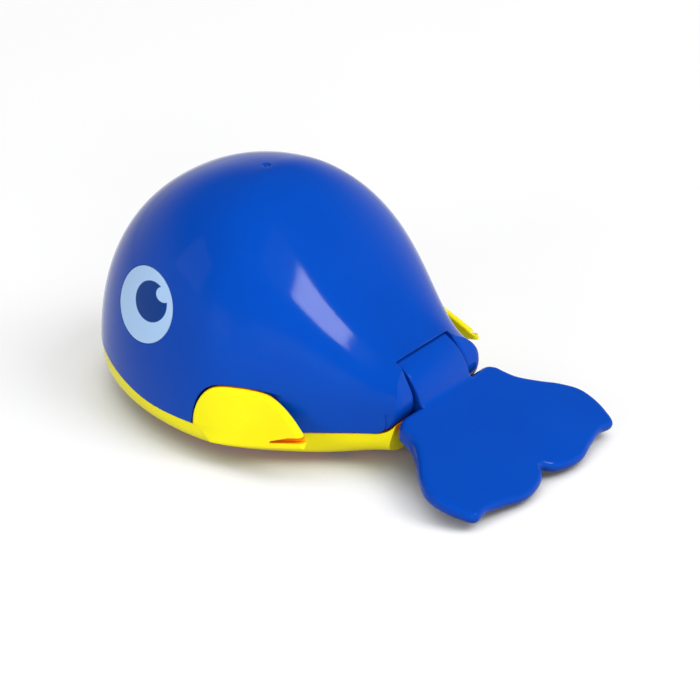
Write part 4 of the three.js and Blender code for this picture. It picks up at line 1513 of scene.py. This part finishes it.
@dataclass
class TailFlukes:
    """The flukes with their hinge barrel, drooping at rest."""

    form: Form
    droop: float = 20.6
    thickness: float = 3.0
    root_thickness: float = 5.7
    top: float = 1.85
    rounding: float = 1.4
    barrel_edge: float = 0.45
    ramp_start: float = 103.5
    ramp_reach: float = 7.3
    ramp_drop: float = 1.0
    ramp_radius: float = 13.0
    notch: float = 37.5
    outline: tuple[Pair, ...] = (
        (7.6, 15.8),
        (8.0, 17.4),
        (9.4, 18.9),
        (11.5, 19.6),
        (14.2, 20.7),
        (18.5, 24.5),
        (22.2, 28.4),
        (26.5, 31.3),
        (30.8, 31.7),
        (35.4, 30.6),
        (39.0, 28.5),
        (38.7, 23.8),
        (40.0, 17.8),
        (41.6, 11.9),
        (41.3, 6.9),
        (39.6, 2.4),
    )
    lever_rise: float = 19.0
    lever_arm: float = 1.6
    lever_wall: float = 1.6
    lever_seat: float = 2.7
    span_steps: int = 8
    rim_steps: int = 8
    ramp_steps: int = 24
    fillet_steps: int = 16
    barrel_steps: int = 96

    @staticmethod
    def _between(first: Vector, last: Vector, start: float, end: float, t: float) -> Vector:
        """The point that a straight run from first at start to last at end reaches at t."""
        return first * ((end - t) / (end - start)) + last * ((t - start) / (end - start))

    def edge(self) -> list[Pair]:
        """The outline as a smooth curve through its points.

        Returns:
            Reach and half-width pairs, from one shoulder round to the other.
        """
        knots = [Vector(p) for p in self.outline] + [Vector((self.notch, 0.0))]
        knots += [Vector((reach, -side)) for reach, side in reversed(self.outline)]
        knots = [2 * knots[0] - knots[1], *knots, 2 * knots[-1] - knots[-2]]
        points = []
        for p0, p1, p2, p3 in zip(knots, knots[1:], knots[2:], knots[3:]):
            t1 = (p1 - p0).length ** 0.5
            t2 = t1 + (p2 - p1).length ** 0.5
            t3 = t2 + (p3 - p2).length ** 0.5
            for i in range(self.span_steps):
                t = t1 + (t2 - t1) * i / self.span_steps
                a1 = self._between(p0, p1, 0.0, t1, t)
                a2 = self._between(p1, p2, t1, t2, t)
                a3 = self._between(p2, p3, t2, t3, t)
                b1 = self._between(a1, a2, 0.0, t2, t)
                b2 = self._between(a2, a3, t1, t3, t)
                points.append(tuple(self._between(b1, b2, t1, t2, t)))
        points.append(tuple(knots[-2]))
        return points

    def plate(self) -> Solid:
        """The flat flukes with rounded rims, level about the hinge axis.

        Returns:
            The plate.
        """
        width = self.form.barrel_half_width - self.rounding - self.form.fit_gap
        shoulder = self.outline[0][0]
        ring = self.edge()
        ring += [(shoulder, -width), (shoulder / 2, -width), (shoulder / 2, width), (shoulder, width)]
        corners = [(reach, side, self.top - self.thickness) for reach, side in ring]
        bm = slab(corners, (0, 0, self.thickness))
        soften(bm, level_edges(bm, 2), self.rounding, self.rim_steps, False)
        rim = self.top - self.rounding
        for vert in bm.verts:
            share = held((vert.co.x - shoulder) / (self.notch - shoulder))
            thickness = self.root_thickness + (self.thickness - self.root_thickness) * share
            growth = (thickness - self.rounding) / (self.thickness - self.rounding)
            if vert.co.z < rim:
                vert.co.z = rim - (rim - vert.co.z) * growth
        return Solid(bm)

    def root(self) -> Solid:
        """The barrel, and the ramp and hollow fillet that lead from its top to the flukes.

        Returns:
            The root.
        """
        radius = self.form.barrel_radius
        start = math.radians(self.ramp_start)
        leave = Vector((radius * math.cos(start), radius * math.sin(start)))
        meet = Vector((self.ramp_reach, self.top + self.ramp_drop))
        chord = meet - leave
        half = math.asin(chord.length / (2 * self.ramp_radius))
        fall = half - math.atan2(chord.y, chord.x)
        lean = math.pi / 2 - fall
        centre = meet - Vector((math.cos(lean), math.sin(lean))) * self.ramp_radius
        profile = bend(centre, self.ramp_radius, lean + 2 * half, lean, self.ramp_steps)
        fillet = self.ramp_drop / (1 - math.cos(fall))
        end = meet.x + fillet * math.sin(fall)
        hollow = (end, self.top + fillet)
        profile += bend(hollow, fillet, -math.pi / 2 - fall, -math.pi / 2, self.fillet_steps)[1:]
        profile.append((end, self.top - self.rounding))
        profile += bend((0.0, 0.0), radius, -lean / 2, start - math.tau, self.barrel_steps)[:-1]
        return Solid.prism(profile, self.form.barrel_half_width, self.barrel_edge)

    def placed(self, angle: float) -> Matrix:
        """From the hinge axis, level, to the toy, with a turn down by an angle."""
        hinge = (self.form.hinge_station, 0, self.form.hinge_height)
        return Matrix.Translation(hinge) @ Matrix.Rotation(math.radians(angle), 4, "Y")

    def solid(self) -> Solid:
        """Builds the flukes at their rest angle.

        Returns:
            The flukes.
        """
        form = self.form
        tail = self.root().join(self.plate()).turned(self.placed(self.droop))
        tail.cut(form.cross_rod(form.pin_radius + form.fit_gap, form.half_beam))
        outer = form.barrel_half_width - self.lever_arm / 2 + form.fit_gap
        inner = outer - self.lever_arm - 2 * form.fit_gap
        deep = form.barrel_radius - self.lever_seat - form.fit_gap
        half = self.lever_wall + form.fit_gap
        for side in Side:
            low, high = sorted((side.value * inner, side.value * outer))
            pocket = Solid.block((-2 * form.barrel_radius, low, -half), (-deep, high, half))
            tail.cut(pocket.turned(self.placed(self.lever_rise)))
        return tail


@dataclass
class WindingKnob:
    """The round knob in the belly's well, with a bar to grip."""

    form: Form
    radius: float = 12.4
    foot: float = 0.8
    top: float = 7.4
    disc: float = 2.6
    disc_edge: float = 0.35
    grip_half_width: float = 2.6
    grip_half_length: float = 11.4
    grip_sink: float = 0.5
    grip_edge: float = 0.9
    screw_hole: float = 1.3
    head_hole: float = 2.3
    head_depth: float = 1.7
    socket: float = 2.3
    socket_foot: float = 3.2
    flutes: int = 36
    flute_facets: int = 4
    disc_edge_steps: int = 3
    grip_edge_steps: int = 5
    flute_share: float = 0.012

    def fluted_disc(self) -> Solid:
        """The disc with its fluted rim.

        Returns:
            The disc.
        """
        x = self.form.shaft_station
        middle = Matrix.Translation((x, 0, self.top - self.disc / 2))
        bm = bar(self.radius, self.disc, self.flutes * self.flute_facets, middle)
        for vert in bm.verts:
            spoke = math.atan2(vert.co.y, vert.co.x - x)
            pull = 1 - self.flute_share * (1 + math.cos(self.flutes * spoke))
            vert.co = (x + (vert.co.x - x) * pull, vert.co.y * pull, vert.co.z)
        soften(bm, level_edges(bm, 2), self.disc_edge, self.disc_edge_steps, True)
        return Solid(bm)

    def grip(self) -> Solid:
        """The rounded bar under the disc.

        Returns:
            The bar.
        """
        x, half, length = self.form.shaft_station, self.grip_half_width, self.grip_half_length
        bm = brick((x - half, -length, self.foot), (x + half, length, self.top - self.grip_sink))
        soften(bm, bm.edges[:], self.grip_edge, self.grip_edge_steps, True)
        return Solid(bm)

    def solid(self) -> Solid:
        """Builds the knob.

        Returns:
            The knob.
        """
        shaft = (self.form.shaft_station, 0)
        return self.fluted_disc().join(self.grip()).cut(
            Solid.post(self.socket, shaft, self.socket_foot, ABOVE, 48),
            Solid.post(self.screw_hole, shaft, UNDER, ABOVE, 32),
            Solid.post(self.head_hole, shaft, UNDER, self.foot + self.head_depth, 48),
        )


@dataclass
class Works:
    """The pieces inside, which keep their solids and get their finishes."""

    shell_screws: int = 4
    gearbox_screws: int = 3
    white: tuple[str, ...] = (
        "tail_lever",
        "gearbox_base",
        "gearbox_cover",
        "great_wheel",
        "second_pinion",
        "crown_wheel",
        "crank_pinion",
        "crank_disc",
    )
    steel: tuple[str, ...] = (
        "tail_hinge_pin",
        "knob_screw",
        "winding_shaft",
        "mainspring",
        "spring_post",
        "ratchet_pawl",
        "second_arbor",
        "crank_arbor",
        "crank_pin",
    )
    brass: tuple[str, ...] = ("ratchet_wheel",)
    rubber: tuple[str, ...] = ("shaft_seal",)

    def screws(self) -> list[str]:
        """The names of the screws that hold shell and gearbox."""
        counts = {"shell": self.shell_screws, "gearbox": self.gearbox_screws}
        return [f"{place}_screw_{i + 1}" for place, count in counts.items() for i in range(count)]

    def dress(self, nodes: dict[str, bpy.types.Object], finishes: dict[Slot, bpy.types.Material]) -> None:
        """Gives each inner node its finish.

        Args:
            nodes: The frame's node objects.
            finishes: Materials by slot.
        """
        groups = {
            Slot.WHITE: self.white,
            Slot.STEEL: [*self.steel, *self.screws()],
            Slot.BRASS: self.brass,
            Slot.RUBBER: self.rubber,
        }
        for slot, names in groups.items():
            for name in names:
                mesh = nodes[name].data
                mesh.materials.clear()
                mesh.materials.append(finishes[slot])
        log.info("%d inner nodes dressed", sum(len(names) for names in groups.values()))


class Seen(Enum):
    """What a lamp does: it shows in gloss, or lights the scene."""

    MIRROR = "mirror"
    LIGHT = "light"


@dataclass(frozen=True)
class Softbox:
    """An oblong lamp that faces the toy, with its place in degrees and metres."""

    azimuth: float
    elevation: float
    distance: float
    width: float
    height: float
    power: float
    seen: Seen


@dataclass
class Studio:
    """Floor, sky, lamps and camera."""

    nose: float
    azimuth: float = 36.69
    elevation: float = 26.87
    distance: float = 780.4
    lens: float = 167.77
    sensor: float = 36.0
    view_range: Pair = (0.05, 20.0)
    aim: Point = (68.86, 0.0, 17.74)
    lamp_aim: Point = (62.0, 0.0, 25.0)
    white: RGB = (1.0, 1.0, 1.0)
    horizon: float = 0.6
    ceiling: float = 0.2
    low_sky: Pair = (0.12, 0.6)
    floor_half: float = 3.0
    floor_grain: float = 40.0
    floor_shades: tuple[RGB, RGB] = ((0.49, 0.49, 0.495), (0.51, 0.51, 0.51))
    floor_glow: float = 0.56
    # Reach, band and samples of the painted shadow round the toy
    painted_shadow_reach: float = 24.0
    painted_shadow_band: Pair = (0.15, 0.8)
    painted_shadow_samples: int = 16
    lamps: tuple[Softbox, ...] = (
        Softbox(104.0, 46.3, 0.75, 0.3, 0.078, 1.9, Seen.MIRROR),
        Softbox(-48.0, 32.0, 0.9, 0.35, 0.35, 0.3, Seen.MIRROR),
        Softbox(102.0, 50.0, 2.2, 1.2, 1.2, 35.0, Seen.LIGHT),
        Softbox(46.0, 20.0, 2.2, 1.0, 0.6, 14.0, Seen.LIGHT),
        Softbox(-4.0, 20.0, 2.2, 1.0, 0.6, 14.0, Seen.LIGHT),
    )

    def _stand(
        self, made: bpy.types.Object, aim: Point, azimuth: float, elevation: float, distance: float
    ) -> None:
        """Stands a lamp or the camera off from its aim, and turns it to face that.

        Args:
            made: The lamp or camera.
            aim: The point that it faces, in stations.
            azimuth: Its azimuth from the aim.
            elevation: Its elevation from the aim.
            distance: Its distance from the aim, in metres.
        """
        a, e = math.radians(azimuth), math.radians(elevation)
        way = Vector((math.sin(a) * math.cos(e), -math.cos(a) * math.cos(e), math.sin(e)))
        made.location = Vector(aim) * MM + Vector((self.nose, 0, 0)) + way * distance
        made.rotation_euler = way.to_track_quat("Z", "Y").to_euler()
        bpy.context.scene.collection.objects.link(made)

    def camera(self) -> None:
        """Sets the camera at the photograph's angle."""
        data = bpy.data.cameras.new("camera")
        data.sensor_fit = "HORIZONTAL"
        data.sensor_width = self.sensor
        data.lens = self.lens
        data.clip_start, data.clip_end = self.view_range
        made = bpy.data.objects.new("camera", data)
        self._stand(made, self.aim, self.azimuth, self.elevation, self.distance * MM)
        bpy.context.scene.camera = made

    def light(self) -> None:
        """Places the lamps, each turned to the toy."""
        for index, lamp in enumerate(self.lamps):
            data = bpy.data.lights.new(f"softbox_{index + 1}", "AREA")
            data.shape = "RECTANGLE"
            data.size = lamp.width
            data.size_y = lamp.height
            data.energy = lamp.power
            made = bpy.data.objects.new(data.name, data)
            self._stand(made, self.lamp_aim, lamp.azimuth, lamp.elevation, lamp.distance)
            made.visible_glossy = lamp.seen is Seen.MIRROR
            made.visible_diffuse = lamp.seen is Seen.LIGHT

    def sky(self) -> None:
        """Makes the sky, which is white to the camera and softer to the toy."""
        world = bpy.data.worlds.new("sky")
        world.use_nodes = True
        bpy.context.scene.world = world
        shade = Shade(world.node_tree, "ShaderNodeOutputWorld")
        way = shade.node("ShaderNodeTexCoord", "Generated")
        low = 1.0 - shade.node("ShaderNodeSeparateXYZ", "Z", None, {0: way}).step(*self.low_sky)
        lit = low * (self.horizon - self.ceiling) + self.ceiling
        strength = shade.shown(low) * (1.0 - lit) + lit
        glow = {"Color": self.white, "Strength": strength}
        shade.finish(shade.node("ShaderNodeBackground", sockets=glow))

    def paper(self) -> bpy.types.Material:
        """The floor's pale paper: it keeps the toy's shadow, and its glow fades where the toy lies close,
        which paints a darker shadow.

        Returns:
            The material.
        """
        material, shade = material_shade("paper_floor")
        tint = shade.mix(shade.noise(shade.place(), self.floor_grain, 3.0), *self.floor_shades)
        matte = shade.node("ShaderNodeBsdfDiffuse", sockets={"Color": tint})
        # Painted shadow: the glow that the camera sees fades where ambient occlusion finds the toy close by
        clear_of_painted_shadow = shade.openness(self.painted_shadow_reach, self.painted_shadow_samples).step(*self.painted_shadow_band)
        strength = shade.shown() * clear_of_painted_shadow * self.floor_glow
        glow = shade.node("ShaderNodeEmission", sockets={"Color": self.white, "Strength": strength})
        shade.finish(shade.node("ShaderNodeAddShader", sockets={0: matte, 1: glow}))
        return material

    def floor(self) -> None:
        """Lays the floor."""
        bm = sheet(1, 1)
        bmesh.ops.scale(bm, verts=bm.verts, vec=(self.floor_half,) * 3)
        mesh = bpy.data.meshes.new("floor")
        bm.to_mesh(mesh)
        bm.free()
        mesh.materials.append(self.paper())
        floor = bpy.data.objects.new("floor", mesh)
        bpy.context.scene.collection.objects.link(floor)


def make_finishes() -> dict[Slot, bpy.types.Material]:
    """Builds every finish.

    Returns:
        Materials by slot.
    """
    # Each row: the plastic's colour, its flow-mark colour, and the colour of the painted shade in creases
    blue = ((0.001, 0.066, 0.475), (0.001, 0.061, 0.445), (0.001, 0.03, 0.25))
    yellow = ((1.0, 0.92, 0.012), (1.0, 0.86, 0.008), (0.92, 0.16, 0.0))
    white = ((0.78, 0.78, 0.75), (0.72, 0.72, 0.69), (0.4, 0.4, 0.38))
    made = {
        Slot.BLUE: Moulded("blue_gloss", *blue, roughness=0.09, scuff=0.05, peel=0.05, edge=0.45),
        Slot.YELLOW: Moulded(
            "yellow_gloss", *yellow, roughness=0.2, scuff=0.06, peel=0.05, edge=0.3, painted_shade_reach=3.5
        ),
        Slot.EYE: EyePrint("eye_ink", (0.46, 0.68, 1.0), (0.001, 0.045, 0.26)),
        Slot.WHITE: Moulded("white_moulding", *white, roughness=0.42, scuff=0.1, peel=0.15, edge=0.15),
        Slot.STEEL: Metal("drawn_steel", (0.56, 0.57, 0.58), (0.36, 0.36, 0.37), 0.22, (1.0, 1.0, 0.12)),
        Slot.BRASS: Metal("stamped_brass", (0.75, 0.53, 0.2), (0.45, 0.3, 0.1), 0.25, (0.12, 1.0, 1.0)),
        Slot.RUBBER: Rubber("black_seal", (0.012, 0.012, 0.013), (0.05, 0.05, 0.05)),
    }
    return {slot: finish.material() for slot, finish in made.items()}


def main() -> None:
    """Builds every sub-assembly, dresses it and reports it."""
    logging.basicConfig(level=logging.INFO, format="%(name)s: %(message)s")
    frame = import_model()
    bpy.context.scene.view_settings.view_transform = "Standard"
    form = Form()
    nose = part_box("upper_shell")[0].x
    finishes = make_finishes()
    maker = Maker(nose, finishes)
    fins = [Fin(form, side) for side in Side]
    eyes = [Eye(form, side) for side in Side]
    maker.piece("dome", UpperShell(form).solid(fins, eyes), Body.HULL, Slot.BLUE, "upper_shell")
    maker.piece("belly", BellyShell(form).solid(fins), Body.HULL, Slot.YELLOW, "belly_shell")
    for eye in eyes:
        side = eye.side.name.lower()
        maker.piece(f"printed_eye_{side}", eye.plate(), Body.HULL, Slot.EYE, f"eye_{side}")
    maker.piece("flukes", TailFlukes(form).solid(), Body.TAIL, Slot.BLUE, "tail_flukes")
    maker.piece("knob", WindingKnob(form).solid(), Body.WINDING, Slot.BLUE, "winding_knob")
    Works().dress(frame["nodes"], finishes)
    studio = Studio(nose)
    studio.sky()
    studio.floor()
    studio.light()
    studio.camera()
    log.info("%d pieces made", len(maker.pieces))


if __name__ == "__main__":
    main()
